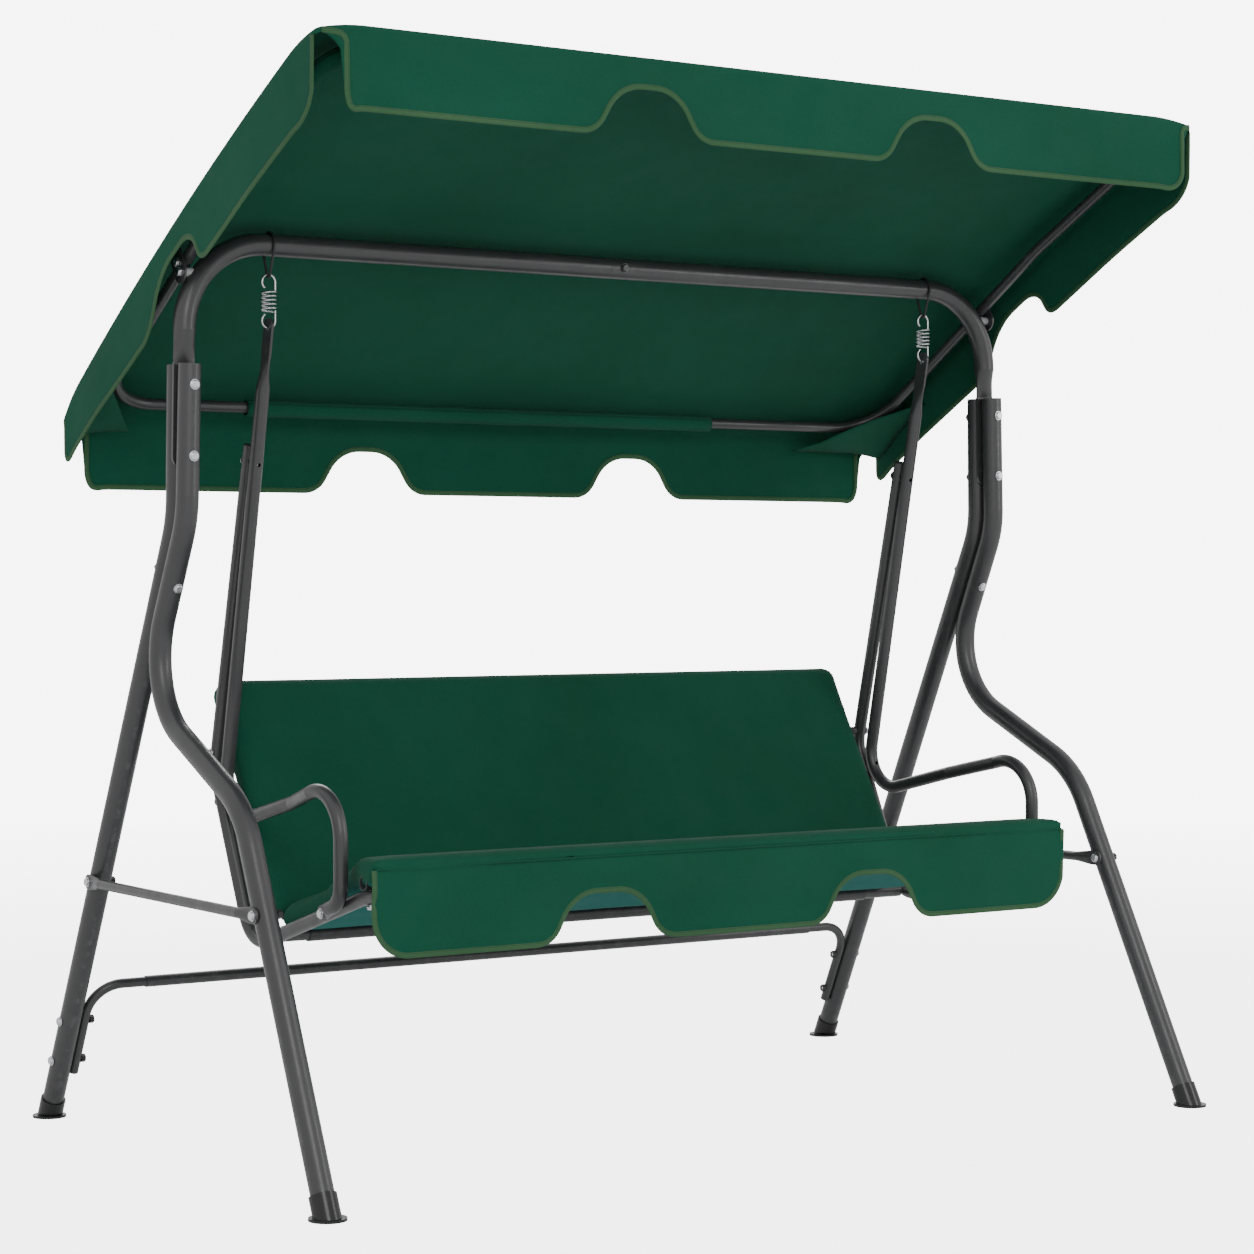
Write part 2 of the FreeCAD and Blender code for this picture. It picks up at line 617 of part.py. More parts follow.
def place_tilted(body, base, angle):
    """Puts a body at three bound coordinates, turned about X by a bound angle."""
    start = Vector(*(value(c) for c in base))
    body.Placement = Placement(start, Rotation(Vector(1, 0, 0), value(angle)))
    for letter, text in zip("xyz", base):
        bind(body, f"Placement.Base.{letter}", text)
    bind(body, "Placement.Rotation.Angle", angle)
    OUTPUT.append(body)


def hang_on_pivot(body, across="0"):
    """Places a canopy piece, drawn level about its pivot, at the canopy's tilt."""
    place_tilted(body, (across, "beam_offset", "pivot_height"), "-canopy_tilt")


cloth = new_body("canopy_top")
sections = []
MIDDLE = "((canopy_rear - canopy_front) / 2)"
for word, at, rise, crown in (("front", "-canopy_front", "0", "0"),
                              ("middle", MIDDLE, "canopy_edge_rise", "canopy_crown"),
                              ("rear", "canopy_rear", "0", "0")):
    section = new_sketch(cloth, word, "XZ_Plane", ("0", "0", f"-({at})"))
    top = f"canopy_lift + {rise} + cloth_thickness / 2"
    low = f"canopy_lift + {rise} - cloth_thickness / 2"
    rounded_run(section, [
        ("-canopy_half_width", low, "0"), ("-ridge_half_width", f"{low} + {crown}", "0"),
        ("ridge_half_width", f"{low} + {crown}", "0"), ("canopy_half_width", low, "0"),
        ("canopy_half_width", top, "0"), ("ridge_half_width", f"{top} + {crown}", "0"),
        ("-ridge_half_width", f"{top} + {crown}", "0"), ("-canopy_half_width", top, "0")],
        closed=True)
    sections.append(section)
loft = cloth.newObject("PartDesign::AdditiveLoft", "canopy_top_loft")
loft.Profile = sections[0]
loft.Sections = sections[1:]
cloth.Tip = loft
hang_on_pivot(cloth)


def slope_y(at, lift):
    """Depth in the room of a point `at` along the tilted canopy and `lift` off its plane."""
    return f"(beam_offset + ({at}) * cos(canopy_tilt * 1 deg) + ({lift}) * sin(canopy_tilt * 1 deg))"


def slope_z(at, lift):
    return f"(pivot_height - ({at}) * sin(canopy_tilt * 1 deg) + ({lift}) * cos(canopy_tilt * 1 deg))"


def scallop(centre, low, high, bottom_half, top_half, hem, bend):
    """Corners of one arched notch in a hem, left to right."""
    return [(f"{centre} - {bottom_half}", low, hem), (f"{centre} - {top_half}", high, bend),
            (f"{centre} + {top_half}", high, bend), (f"{centre} + {bottom_half}", low, hem)]


TOP_FACE = "canopy_lift + cloth_thickness / 2"
LOW_FACE = "canopy_lift - cloth_thickness / 2"
for word, at, face in (("front", "-canopy_front", LOW_FACE), ("rear", "canopy_rear", TOP_FACE)):
    body = new_body(f"canopy_valance_{word}")
    top = slope_z(at, TOP_FACE)
    low = f"{top} - canopy_drop"
    high = f"{low} + scallop_height"
    half = "(canopy_half_width - corner_slit)"
    outline = [(f"-{half}", top, "0"), (f"-{half}", low, "hem_radius")]
    for centre in ("-scallop_offset", "scallop_offset"):
        outline += scallop(centre, low, high, "scallop_half_width", "scallop_top_half_width",
                           "hem_radius", "scallop_radius")
    outline += [(half, low, "hem_radius"), (half, top, "0")]
    edge = slope_y(at, face)
    offset = "- cloth_thickness" if word == "front" else ""
    sketch = new_sketch(body, "outline", "XZ_Plane", ("0", "0", f"-({edge} {offset})"))
    rounded_run(sketch, outline, closed=True)
    item = pad(body, "sheet", sketch, "cloth_thickness", both=False)
    item.Reversed = True
    OUTPUT.append(body)

for side, sign in SIDES:
    body = new_body(f"canopy_valance_{side}")
    rise = "2 * canopy_edge_rise"
    front = "-canopy_front + corner_slit"
    rear = "canopy_rear - corner_slit"
    notch_top = "-canopy_drop + scallop_height"
    outline = [(slope_y(rear, TOP_FACE), slope_z(rear, TOP_FACE), "0"),
               (slope_y(MIDDLE, f"{TOP_FACE} + {rise}"), slope_z(MIDDLE, f"{TOP_FACE} + {rise}"),
                "canopy_front * 10"),
               (slope_y(front, TOP_FACE), slope_z(front, TOP_FACE), "0"),
               (slope_y(front, TOP_FACE), f"{slope_z(front, TOP_FACE)} - canopy_drop",
                "hem_radius")]
    for shift, drop, radius in (
            ("-side_scallop_low_width", "canopy_drop - 6", "hem_radius"),
            ("-scallop_top_half_width", "canopy_drop - scallop_height - 6", "scallop_radius"),
            ("scallop_top_half_width", "canopy_drop - scallop_height - 6", "scallop_radius"),
            ("side_scallop_low_width", "canopy_drop - 6", "hem_radius")):
        at = f"(-side_scallop + {shift})"
        lift = f"({TOP_FACE} + canopy_edge_rise)"
        outline.append((slope_y(at, lift), f"{slope_z(at, lift)} - ({drop})", radius))
    outline.append((slope_y(rear, TOP_FACE), f"{slope_z(rear, TOP_FACE)} - canopy_drop + 26",
                    "hem_radius"))
    sketch = new_sketch(body, "outline", "YZ_Plane", ("0", "0", f"{sign} * canopy_half_width"))
    rounded_run(sketch, outline, closed=True)
    item = pad(body, "sheet", sketch, "cloth_thickness", both=False)
    item.Reversed = sign < 0
    OUTPUT.append(body)

# canopy frame: side rails that meet the front and rear tubes in rounded corners
RAIL_FRONT = "(-canopy_front + rail_front_inset)"
RAIL_REAR = "(canopy_rear - rail_rear_inset)"
for word, at in (("front", RAIL_FRONT), ("rear", RAIL_REAR)):
    body = new_body(f"canopy_frame_{word}")
    length = f"sqrt(({at} + rail_joint) ^ 2 + (rail_joint_lift - rail_end_lift) ^ 2)"
    slope = f"atan((rail_joint_lift - rail_end_lift) / ({at} + rail_joint))"
    corner = f"({length})" if word == "rear" else f"-({length})"
    begin = "part_gap" if word == "rear" else "-part_gap"
    path = new_sketch(body, "path", "XY_Plane")
    rounded_run(path, [("-rail_half_width", begin, "0"),
                       ("-rail_half_width", corner, "rail_corner_radius"),
                       ("rail_half_width", corner, "rail_corner_radius"),
                       ("rail_half_width", begin, "0")])
    doc.recompute()
    ring = edge_sketch(body, "ring", path, at_end=False)
    add_circle(ring, "0", "0", "rail_outer / 2")
    add_circle(ring, "0", "0", "rail_outer / 2 - rail_wall")
    sweep = body.newObject("PartDesign::AdditivePipe", f"{body.Name}_sweep")
    sweep.Profile = ring
    sweep.Spine = (path, [f"Edge{i + 1}" for i in range(len(path.Shape.Edges))])
    body.Tip = sweep
    doc.recompute()
    if word == "rear":
        hole(body, "bracket_hole", "YZ_Plane", f"rail_joint * {length} / ({at} + rail_joint)",
             "0", OPEN_HOLE)
    place_tilted(body, ("0", slope_y("-rail_joint", "rail_joint_lift"),
                        slope_z("-rail_joint", "rail_joint_lift")), f"-canopy_tilt * 1 deg - {slope}")

pins = []
for side, sign in SIDES:
    name = f"canopy_pin_{side}"
    middle = Vector(sign * value("rail_half_width"),
                    value(slope_y("-rail_joint", "rail_joint_lift")),
                    value(slope_z("-rail_joint", "rail_joint_lift")))
    tilt = math.radians(value("canopy_tilt"))
    way = Vector(0, math.cos(tilt), -math.sin(tilt))
    place = along(middle - way * value("pin_half_length"), way)
    pins.append(cylinder(name, "rail_outer / 2 - rail_wall - pin_gap", "2 * pin_half_length",
                         place))
group("canopy_pins", pins)

# brackets that carry the side rails on the stand's two lugs
PLATE_X = "(rail_half_width + rail_outer / 2 + bracket_thickness / 2)"
RAIL_LIFT = ("(rail_joint_lift - (rail_joint_lift - rail_end_lift)"
             f" * rail_joint / ({RAIL_REAR} + rail_joint))")
lugs = []
pivot_bolts = []
rail_screws = []
for side, sign in SIDES:
    body = new_body(f"canopy_bracket_{side}")
    sketch = new_sketch(body, "outline", "YZ_Plane")
    half = "bracket_width / 2"
    rounded_run(sketch, [(f"-{half}", f"-{half}", "bracket_width * 0.49"),
                         (half, f"-{half}", "bracket_width * 0.49"),
                         (half, "bracket_top", "bracket_thickness"),
                         (f"-{half}", "bracket_top", "bracket_thickness")], closed=True)
    pad(body, "plate", sketch, "bracket_thickness")
    hole(body, "pivot_hole", "YZ_Plane", "0", "0", "pivot_bolt + 2 * pivot_gap")
    hole(body, "rail_hole", "YZ_Plane", "0", RAIL_LIFT, OPEN_HOLE)
    hang_on_pivot(body, f"{sign} * {PLATE_X}")

    bend_turn = f"(90 - atan({BEAM_FALL}) / 1 deg) * 1 deg"
    bend_x = f"({beam_x('beam_height')} - beam_bend_radius * tan({bend_turn} / 2))"
    lug_end = f"({PLATE_X} - bracket_thickness / 2 - part_gap)"
    rise = "(pivot_height - beam_height + beam_bend_radius)"
    root_x = f"({bend_x} + sqrt(beam_bend_radius ^ 2 - {rise} ^ 2))"
    pivot = Vector(sign * value(root_x), value("beam_offset"), value("pivot_height"))
    rod = cylinder(f"lug_rod_{side}", "lug_diameter / 2", f"{lug_end} - {root_x}",
                   along(pivot, (sign, 0, 0)))
    bore = cylinder(f"lug_bore_{side}", "pivot_bolt / 2 + thread_gap", f"{lug_end} - {root_x} + 1",
                    along(pivot, (sign, 0, 0)))
    bend = doc.addObject("Part::Torus", f"lug_cope_{side}")
    bind(bend, "Radius1", "beam_bend_radius")
    bind(bend, "Radius2", "tube_outer / 2")
    bend.Placement = Placement(Vector(sign * value(bend_x), value("beam_offset"),
                                      value("beam_height - beam_bend_radius")),
                               Rotation(Vector(1, 0, 0), 90))
    coped = doc.addObject("Part::Cut", f"lug_coped_{side}")
    coped.Base = rod
    coped.Tool = bend
    lug = doc.addObject("Part::Cut", f"canopy_lug_{side}")
    lug.Base = coped
    lug.Tool = bore
    lugs.append(lug)

    face = f"{PLATE_X} + bracket_thickness / 2"
    place = along((sign * value(f"{face} + part_gap"), value("beam_offset"),
                   value("pivot_height")), (-sign, 0, 0))
    pivot_bolts.append(screw(f"canopy_pivot_bolt_{side}", place,
                             "bracket_thickness + 2 * part_gap", "pivot_bolt", "pivot_bolt"))
    place = along((sign * value(face), value(slope_y("0", RAIL_LIFT)),
                   value(slope_z("0", RAIL_LIFT))), (-sign, 0, 0))
    rail_screws.append(screw(f"rail_screw_{side}", place, "bracket_thickness + rail_outer",
                             reach="-rail_wall - 1"))
group("canopy_lugs", lugs)
group("canopy_pivot_bolts", pivot_bolts)
group("canopy_rail_screws", rail_screws)

# ---------------------------------------------------------------- loops and springs

HOOK_TOP = "(loop_bottom + loop_wire / 2 + spring_wire / 2 + hook_gap)"
COIL_TOP = f"({HOOK_TOP} - 2 * coil_radius - hook_neck)"
COIL_BOTTOM = f"({COIL_TOP} - coil_turns * coil_pitch)"
HOOK_LOW = f"({COIL_BOTTOM} - 2 * coil_radius - hook_neck)"


def belt(sketch, top, top_radius, low, low_radius):
    """A closed loop round two circles on the vertical axis."""
    high_centre = Vector(0, value(top), 0)
    low_centre = Vector(0, value(low), 0)
    wide, tight = value(top_radius), value(low_radius)
    slant = math.asin((wide - tight) / (high_centre.y - low_centre.y))
    right = Vector(math.cos(slant), -math.sin(slant), 0)
    left = Vector(-right.x, right.y, 0)
    sides = [Part.LineSegment(low_centre + right * tight, high_centre + right * wide),
             Part.LineSegment(high_centre + left * wide, low_centre + left * tight)]
    up = Vector(0, 0, 1)
    arcs = [Part.ArcOfCircle(Part.Circle(high_centre, up, wide), -slant, math.pi + slant),
            Part.ArcOfCircle(Part.Circle(low_centre, up, tight), math.pi + slant,
                             2 * math.pi - slant)]
    first, cap, second, cup = (sketch.addGeometry(g) for g in (sides[0], arcs[0], sides[1],
                                                               arcs[1]))
    for a, a_end, b, b_end in ((first, 2, cap, 1), (cap, 2, second, 1), (second, 2, cup, 1),
                               (cup, 2, first, 1)):
        constrain(sketch, "Tangent", a, a_end, b, b_end)
    for arc, height, radius in ((cap, top, top_radius), (cup, low, low_radius)):
        fix_point(sketch, arc, 3, "0", height)
        constrain(sketch, "Radius", arc, value(radius), to=radius)


def wire_sweep(body, name, path, radius):
    ring = edge_sketch(body, f"{name}_section", path, at_end=False)
    add_circle(ring, "0", "0", radius)
    sweep = body.newObject("PartDesign::AdditivePipe", f"{body.Name}_{name}")
    sweep.Profile = ring
    sweep.Spine = (path, [f"Edge{i + 1}" for i in range(len(path.Shape.Edges))])
    body.Tip = sweep
    doc.recompute()


def hook(body, name, start, way):
    """The end loop of a spring: a straight neck and then most of a ring, going up or down."""
    path = new_sketch(body, name, "XZ_Plane")
    radius = value("coil_radius")
    low = f"{start} - {way} * spring_wire / 2"
    centre = f"{start} + {way} * (hook_neck + coil_radius)"
    top = value(centre)
    neck = path.addGeometry(Part.LineSegment(Vector(radius, value(low), 0),
                                             Vector(radius, top, 0)))
    sweep = math.radians(value("hook_sweep"))
    circle = Part.Circle(Vector(0, top, 0), Vector(0, 0, 1), radius)
    begin, end = (0, sweep) if way > 0 else (2 * math.pi - sweep, 2 * math.pi)
    ring = path.addGeometry(Part.ArcOfCircle(circle, begin, end))
    constrain(path, "Tangent", neck, 2, ring, 1 if way > 0 else 2)
    fix_point(path, neck, 1, "coil_radius", low)
    fix_point(path, ring, 3, "0", centre)
    constrain(path, "Radius", ring, radius, to="coil_radius")
    free_end = 2 if way > 0 else 1
    drop = f"{centre} + {way} * coil_radius * sin(hook_sweep * 1 deg)"
    constrain(path, "DistanceY", -1, 1, ring, free_end, value(drop), to=drop)
    doc.recompute()
    wire_sweep(body, f"{name}_sweep", path, "hook_wire / 2")


loops = []
for side, sign in SIDES:
    body = new_body(f"beam_loop_{side}")
    path = new_sketch(body, "path", "YZ_Plane", ("beam_offset", "0", "0"))
    belt(path, "beam_height", "tube_outer / 2 + loop_wire / 2 + thread_gap",
         "loop_bottom + loop_low_radius", "loop_low_radius")
    doc.recompute()
    wire_sweep(body, "sweep", path, "loop_wire / 2")
    bind(body, "Placement.Base.x", f"{sign} * hanger_half_width")
    loops.append(body)

    body = new_body(f"spring_{side}")
    hook(body, "lower_hook", COIL_BOTTOM, -1)
    section = new_sketch(body, "section", "XZ_Plane")
    add_circle(section, "coil_radius", COIL_BOTTOM, "spring_wire / 2")
    doc.recompute()
    coil = body.newObject("PartDesign::AdditiveHelix", f"{body.Name}_coil")
    coil.Profile = section
    coil.ReferenceAxis = (section, ["V_Axis"])
    coil.Mode = 1
    bind(coil, "Pitch", "coil_pitch")
    bind(coil, "Turns", "coil_turns")
    body.Tip = coil
    doc.recompute()
    hook(body, "upper_hook", COIL_TOP, 1)
    bind(body, "Placement.Base.x", f"{sign} * hanger_half_width")
    bind(body, "Placement.Base.y", "beam_offset")
    OUTPUT.append(body)

group("beam_loops", loops)

# ---------------------------------------------------------------- seat hangers and side frames

SEAT_GAP = "(seat_tube / 2 + seat_press_thickness / 2)"
RAIL_SLOPE = "(rail_rise / (rear_corner_depth + rail_bend_depth))"
SPAN = f"sqrt((elbow_depth - beam_offset) ^ 2 + ({HOOK_LOW} - elbow_height) ^ 2)"
TUBE_START = f"((hanger_plate - hanger_top + hanger_taper) / {SPAN})"
ARM_SLOPE = "((arm_height - elbow_height) / (elbow_depth + arm_front))"


def rail_z(depth):
    """Height of the seat rail's centre line, `depth` measured towards the rear."""
    return f"(rear_corner_height + {RAIL_SLOPE} * (rear_corner_depth - ({depth})))"


def arm_z(depth):
    return f"(elbow_height + {ARM_SLOPE} * (elbow_depth - ({depth})))"


POST = [("post_top_depth", "post_top_height", "0"),
        ("post_bend_depth", "post_bend_height", "post_radius"),
        ("rear_corner_depth", "rear_corner_height", "rear_corner_radius"),
        ("-rail_bend_depth", rail_z("-rail_bend_depth"), "rail_radius"),
        ("-rail_end_depth", f"{rail_z('-rail_bend_depth')} + rail_end_rise", "0")]
HOOK_HOLE_Z = f"({HOOK_LOW} + spring_wire / 2 + hook_gap - hook_hole / 2)"
ARM_SHIFT = "(seat_tube + part_gap)"


def unit(across, up):
    return Vector(0, across, up).normalize()


def elbow_clamp():
    """Where the post and the hanger's elbow are nearest: point on the post, way, distance."""
    elbow = Vector(0, value("elbow_depth"), value("elbow_height"))
    before = unit(value("beam_offset - elbow_depth"), value(f"{HOOK_LOW} - elbow_height"))
    after = unit(value("-arm_front - elbow_depth"), value("arm_height - elbow_height"))
    half = before.getAngle(after) / 2
    centre = elbow + (before + after).normalize() * (value("elbow_radius") / math.sin(half))
    bend = Vector(0, value("post_bend_depth"), value("post_bend_height"))
    corner = Vector(0, value("rear_corner_depth"), value("rear_corner_height"))
    line = (corner - bend).normalize()
    foot = bend + line * (centre - bend).dot(line)
    way = (centre - foot).normalize()
    return foot, way, (centre - foot).Length - value("elbow_radius")


def top_clamp():
    """The same near the post's top, where both tubes are straight."""
    top = Vector(0, value("post_top_depth"), value("post_top_height"))
    bend = Vector(0, value("post_bend_depth"), value("post_bend_height"))
    line = (bend - top).normalize()
    foot = top + line * value("post_bolt_drop")
    hook_point = Vector(0, value("beam_offset"), value(HOOK_LOW))
    elbow = Vector(0, value("elbow_depth"), value("elbow_height"))
    run = (elbow - hook_point).normalize()
    near = hook_point + run * (foot - hook_point).dot(run)
    return foot, (near - foot).normalize(), (near - foot).Length


CLAMPS = (("elbow", elbow_clamp()), ("top", top_clamp()))


def clamp_holes(body):
    for word, (foot, way, distance) in CLAMPS:
        turn = str(-math.degrees(math.atan2(way.z, -way.y)))
        sketch = new_sketch(body, f"{word}_clamp", "XZ_Plane", ("0", str(foot.z), str(-foot.y)),
                            (1, 0, 0), turn)
        add_circle(sketch, "0", "0", "bolt_diameter / 2 + hole_gap")
        item = body.newObject("PartDesign::Pocket", f"{body.Name}_{word}_clamp_cut")
        item.Profile = sketch
        item.Midplane = True
        bind(item, "Length", "4 * seat_tube")
        body.Tip = item
        doc.recompute()


clamp_bolts = []
clamp_spacers = []
arm_bolts = []
arm_nuts = []
for side, sign in SIDES:
    body, path = tube(f"hanger_{side}", "YZ_Plane", [
        (f"beam_offset + (elbow_depth - beam_offset) * {TUBE_START}",
         f"{HOOK_LOW} - ({HOOK_LOW} - elbow_height) * {TUBE_START}", "0"),
        ("elbow_depth", "elbow_height", "elbow_radius"),
        ("-arm_jog_start", arm_z("-arm_jog_start"), "0")], "seat_tube", "seat_tube_wall")
    clamp_holes(body)
    pressed_end(body, path, "YZ_Plane", False, "seat_tube", "hanger_taper", "hanger_plate",
                "hanger_press_width", "seat_press_thickness")
    hole(body, "hook_hole", "YZ_Plane", "beam_offset", HOOK_HOLE_Z, "hook_hole")

    shift = f"{sign} * {ARM_SHIFT}"
    front = new_sketch(body, "arm_path", "YZ_Plane", ("0", "0", shift))
    reach = f"sqrt((arm_front - arm_bolt_depth) ^ 2 * (1 + {RAIL_SLOPE} ^ 2))"
    part = f"(({reach} - arm_taper - arm_blade + arm_blade_width / 2) / {reach})"
    rounded_run(front, [
        ("-arm_jog_end", arm_z("-arm_jog_end"), "0"), ("-arm_front", "arm_height", "arm_radius"),
        ("-arm_front", rail_z("-arm_front"), "arm_low_radius"),
        (f"-arm_front + (arm_front - arm_bolt_depth) * {part}",
         rail_z(f"-arm_front + (arm_front - arm_bolt_depth) * {part}"), "0")])
    doc.recompute()
    leave = edge_sketch(body, "jog_leave", path, at_end=True)
    add_circle(leave, "0", "0", "seat_tube / 2")
    arrive = edge_sketch(body, "jog_arrive", front, at_end=False)
    add_circle(arrive, "0", "0", "seat_tube / 2")
    jog = body.newObject("PartDesign::AdditiveLoft", f"{body.Name}_jog")
    jog.Profile = leave
    jog.Sections = [arrive]
    ring = edge_sketch(body, "arm_ring", front, at_end=False)
    add_circle(ring, "0", "0", "seat_tube / 2")
    add_circle(ring, "0", "0", "seat_tube / 2 - seat_tube_wall")
    sweep = body.newObject("PartDesign::AdditivePipe", f"{body.Name}_arm_sweep")
    sweep.Profile = ring
    sweep.Spine = (front, [f"Edge{i + 1}" for i in range(len(front.Shape.Edges))])
    doc.recompute()
    pressed_end(body, front, "YZ_Plane", True, "seat_tube", "arm_taper", "arm_blade",
                "arm_blade_width", "seat_press_thickness", f"{sign} * {SEAT_GAP}", shift)
    hole(body, "arm_hole", "YZ_Plane", "-arm_bolt_depth", rail_z("-arm_bolt_depth"), OPEN_HOLE)
    bind(body, "Placement.Base.x", f"{sign} * hanger_half_width")
    OUTPUT.append(body)

    body, path = tube(f"seat_side_{side}", "YZ_Plane", POST, "seat_tube", "seat_tube_wall")
    clamp_holes(body)
    hole(body, "arm_hole", "YZ_Plane", "-arm_bolt_depth", rail_z("-arm_bolt_depth"), OPEN_HOLE)
    bind(body, "Placement.Base.x", f"{sign} * hanger_half_width")
    OUTPUT.append(body)

    for word, (foot, way, distance) in CLAMPS:
        at = foot + Vector(sign * value("hanger_half_width"), 0, 0)
        reach = value("seat_tube / 2 + 2 * part_gap")
        place = along(at - way * reach, way)
        clamp_bolts.append(screw(f"{word}_clamp_bolt_{side}", place,
                                 f"{distance} + seat_tube", reach="-seat_tube / 4"))
        spacer = cylinder(f"{word}_spacer_body_{side}", "washer_diameter / 2",
                          f"{distance} - seat_tube - 4 * part_gap", along(at + way * reach, way))
        bore = cylinder(f"{word}_spacer_bore_{side}", "bolt_diameter / 2 + hole_gap",
                        f"{distance}", along(at + way * reach * 0.9, way))
        item = doc.addObject("Part::Cut", f"{word}_spacer_{side}")
        item.Base = spacer
        item.Tool = bore
        clamp_spacers.append(item)
    face = f"hanger_half_width + seat_tube / 2 + seat_press_thickness"
    place = along((sign * value(face), value("-arm_bolt_depth"), value(rail_z("-arm_bolt_depth"))),
                  (-sign, 0, 0))
    grip = "seat_tube + seat_press_thickness"
    arm_bolts.append(screw(f"arm_bolt_{side}", place, grip, reach="nut_height - 3"))
    arm_nuts.append(nut(f"arm_nut_{side}", place, grip))
group("clamp_bolts", clamp_bolts)
group("clamp_spacers", clamp_spacers)
group("arm_bolts", arm_bolts)
group("arm_nuts", arm_nuts)

# round caps on the open tube ends of the side frames
caps = []
top_way = unit(value("post_top_depth - post_bend_depth"),
               value("post_top_height - post_bend_height"))
front_way = unit(-value("rail_end_depth - rail_bend_depth"), value("rail_end_rise"))
for side, sign in SIDES:
    x = sign * value("hanger_half_width")
    for word, y, z, way in (
            ("post", value("post_top_depth"), value("post_top_height"), top_way),
            ("rail", value("-rail_end_depth"),
             value(f"{rail_z('-rail_bend_depth')} + rail_end_rise"), front_way)):
        disc = cylinder(f"{word}_cap_disc_{side}", "seat_tube / 2", "cap_thickness")
        dome = doc.addObject("Part::Fillet", f"{word}_cap_dome_{side}")
        dome.Base = disc
        doc.recompute()
        edges = disc.Shape.Edges
        rim = max(range(len(edges)), key=lambda i: edges[i].CenterOfMass.z)
        dome.Edges = [(rim + 1, value("cap_round"), value("cap_round"))]
        plug = cylinder(f"{word}_cap_plug_{side}",
                        "seat_tube / 2 - seat_tube_wall - thread_gap", "4 * cap_thickness",
                        lifted(-value("4 * cap_thickness")))
        caps.append(fused(f"{word}_cap_{side}", [dome, plug], along((x, y, z), way)))
group("seat_caps", caps)

# ---------------------------------------------------------------- seat cross tubes

FRONT_TUBE_Z = f"({rail_z('-rail_bend_depth')} + rail_end_rise / 2 + seat_tube + part_gap * 2)"
body, path = tube("seat_rear_tube", "XZ_Plane",
                  [("-rear_tube_half", "0", "0"), ("rear_tube_half", "0", "0")],
                  "rear_tube", "rear_tube / 2 - seat_tube / 2 - slip_gap")
bind(body, "Placement.Base.y", "rear_tube_depth")
bind(body, "Placement.Base.z", "rear_corner_height + stub_rise")
OUTPUT.append(body)
stubs = []
for side, sign in SIDES:
    body, path = tube(f"seat_stub_{side}", "XZ_Plane",
                      [(f"{sign} * (rear_tube_half - socket_depth)", "0", "0"),
                       (f"{sign} * (hanger_half_width - seat_tube / 2)", "0", "0")],
                      "seat_tube", "stub_wall")
    bind(body, "Placement.Base.y", "rear_tube_depth")
    bind(body, "Placement.Base.z", "rear_corner_height + stub_rise")
    stubs.append(body)
group("seat_stubs", stubs)
body, path = tube("seat_front_tube", "XZ_Plane",
                  [("-roll_half_width + seat_tube_wall * 3", "0", "0"),
                   ("roll_half_width - seat_tube_wall * 3", "0", "0")],
                  "seat_tube", "seat_tube_wall")
bind(body, "Placement.Base.y", "-front_tube_depth")
bind(body, "Placement.Base.z", FRONT_TUBE_Z)
OUTPUT.append(body)

# ---------------------------------------------------------------- backrest

FRAME = [("-back_frame_half", "part_gap", "0"),
         ("-back_frame_half", "back_height - back_frame_top", "back_frame_radius"),
         ("back_frame_half", "back_height - back_frame_top", "back_frame_radius"),
         ("back_frame_half", "part_gap", "0")]
BACK = ("0", "back_foot_depth", "back_foot_height")


def middle_plane(body):
    """Moves a backrest piece's sketches to the middle of the padding."""
    return ("0", "0", "-back_thickness / 2")


frame = new_body("backrest_frame")
path = new_sketch(frame, "path", "XZ_Plane", middle_plane(frame))
rounded_run(path, FRAME)
doc.recompute()
ring = edge_sketch(frame, "ring", path, at_end=False)
add_circle(ring, "0", "0", "back_frame_tube / 2")
add_circle(ring, "0", "0", "back_frame_tube / 2 - back_frame_wall")
sweep = frame.newObject("PartDesign::AdditivePipe", "backrest_frame_sweep")
sweep.Profile = ring
sweep.Spine = (path, [f"Edge{i + 1}" for i in range(len(path.Shape.Edges))])
frame.Tip = sweep
doc.recompute()
hole(frame, "bolt_hole", "YZ_Plane", "back_thickness / 2", "back_bolt_reach", OPEN_HOLE)
place_tilted(frame, BACK, "-back_slope")

panel = new_body("backrest_cushion")
sketch = new_sketch(panel, "outline", "XZ_Plane", middle_plane(panel))
half = "back_half_width"
rounded_run(sketch, [(f"-{half}", "0", "0"), (half, "0", "0"),
                     (half, "back_height", "back_corner"),
                     (f"-{half}", "back_height", "back_corner")], closed=True)
pad(panel, "pad", sketch, "back_thickness")
channel = new_sketch(panel, "channel", "XZ_Plane", middle_plane(panel))
rounded_run(channel, [(x, z.replace("part_gap", "-part_gap"), r) for x, z, r in FRAME])
doc.recompute()
ring = edge_sketch(panel, "channel_ring", channel, at_end=False)
add_circle(ring, "0", "0", "back_frame_tube / 2 + slip_gap")
sweep = panel.newObject("PartDesign::SubtractivePipe", "backrest_channel")
sweep.Profile = ring
sweep.Spine = (channel, [f"Edge{i + 1}" for i in range(len(channel.Shape.Edges))])
panel.Tip = sweep
doc.recompute()
hole(panel, "spacer_hole", "YZ_Plane", "back_thickness / 2", "back_bolt_reach",
     "spacer_diameter + 2 * slip_gap")
place_tilted(panel, BACK, "-back_slope")

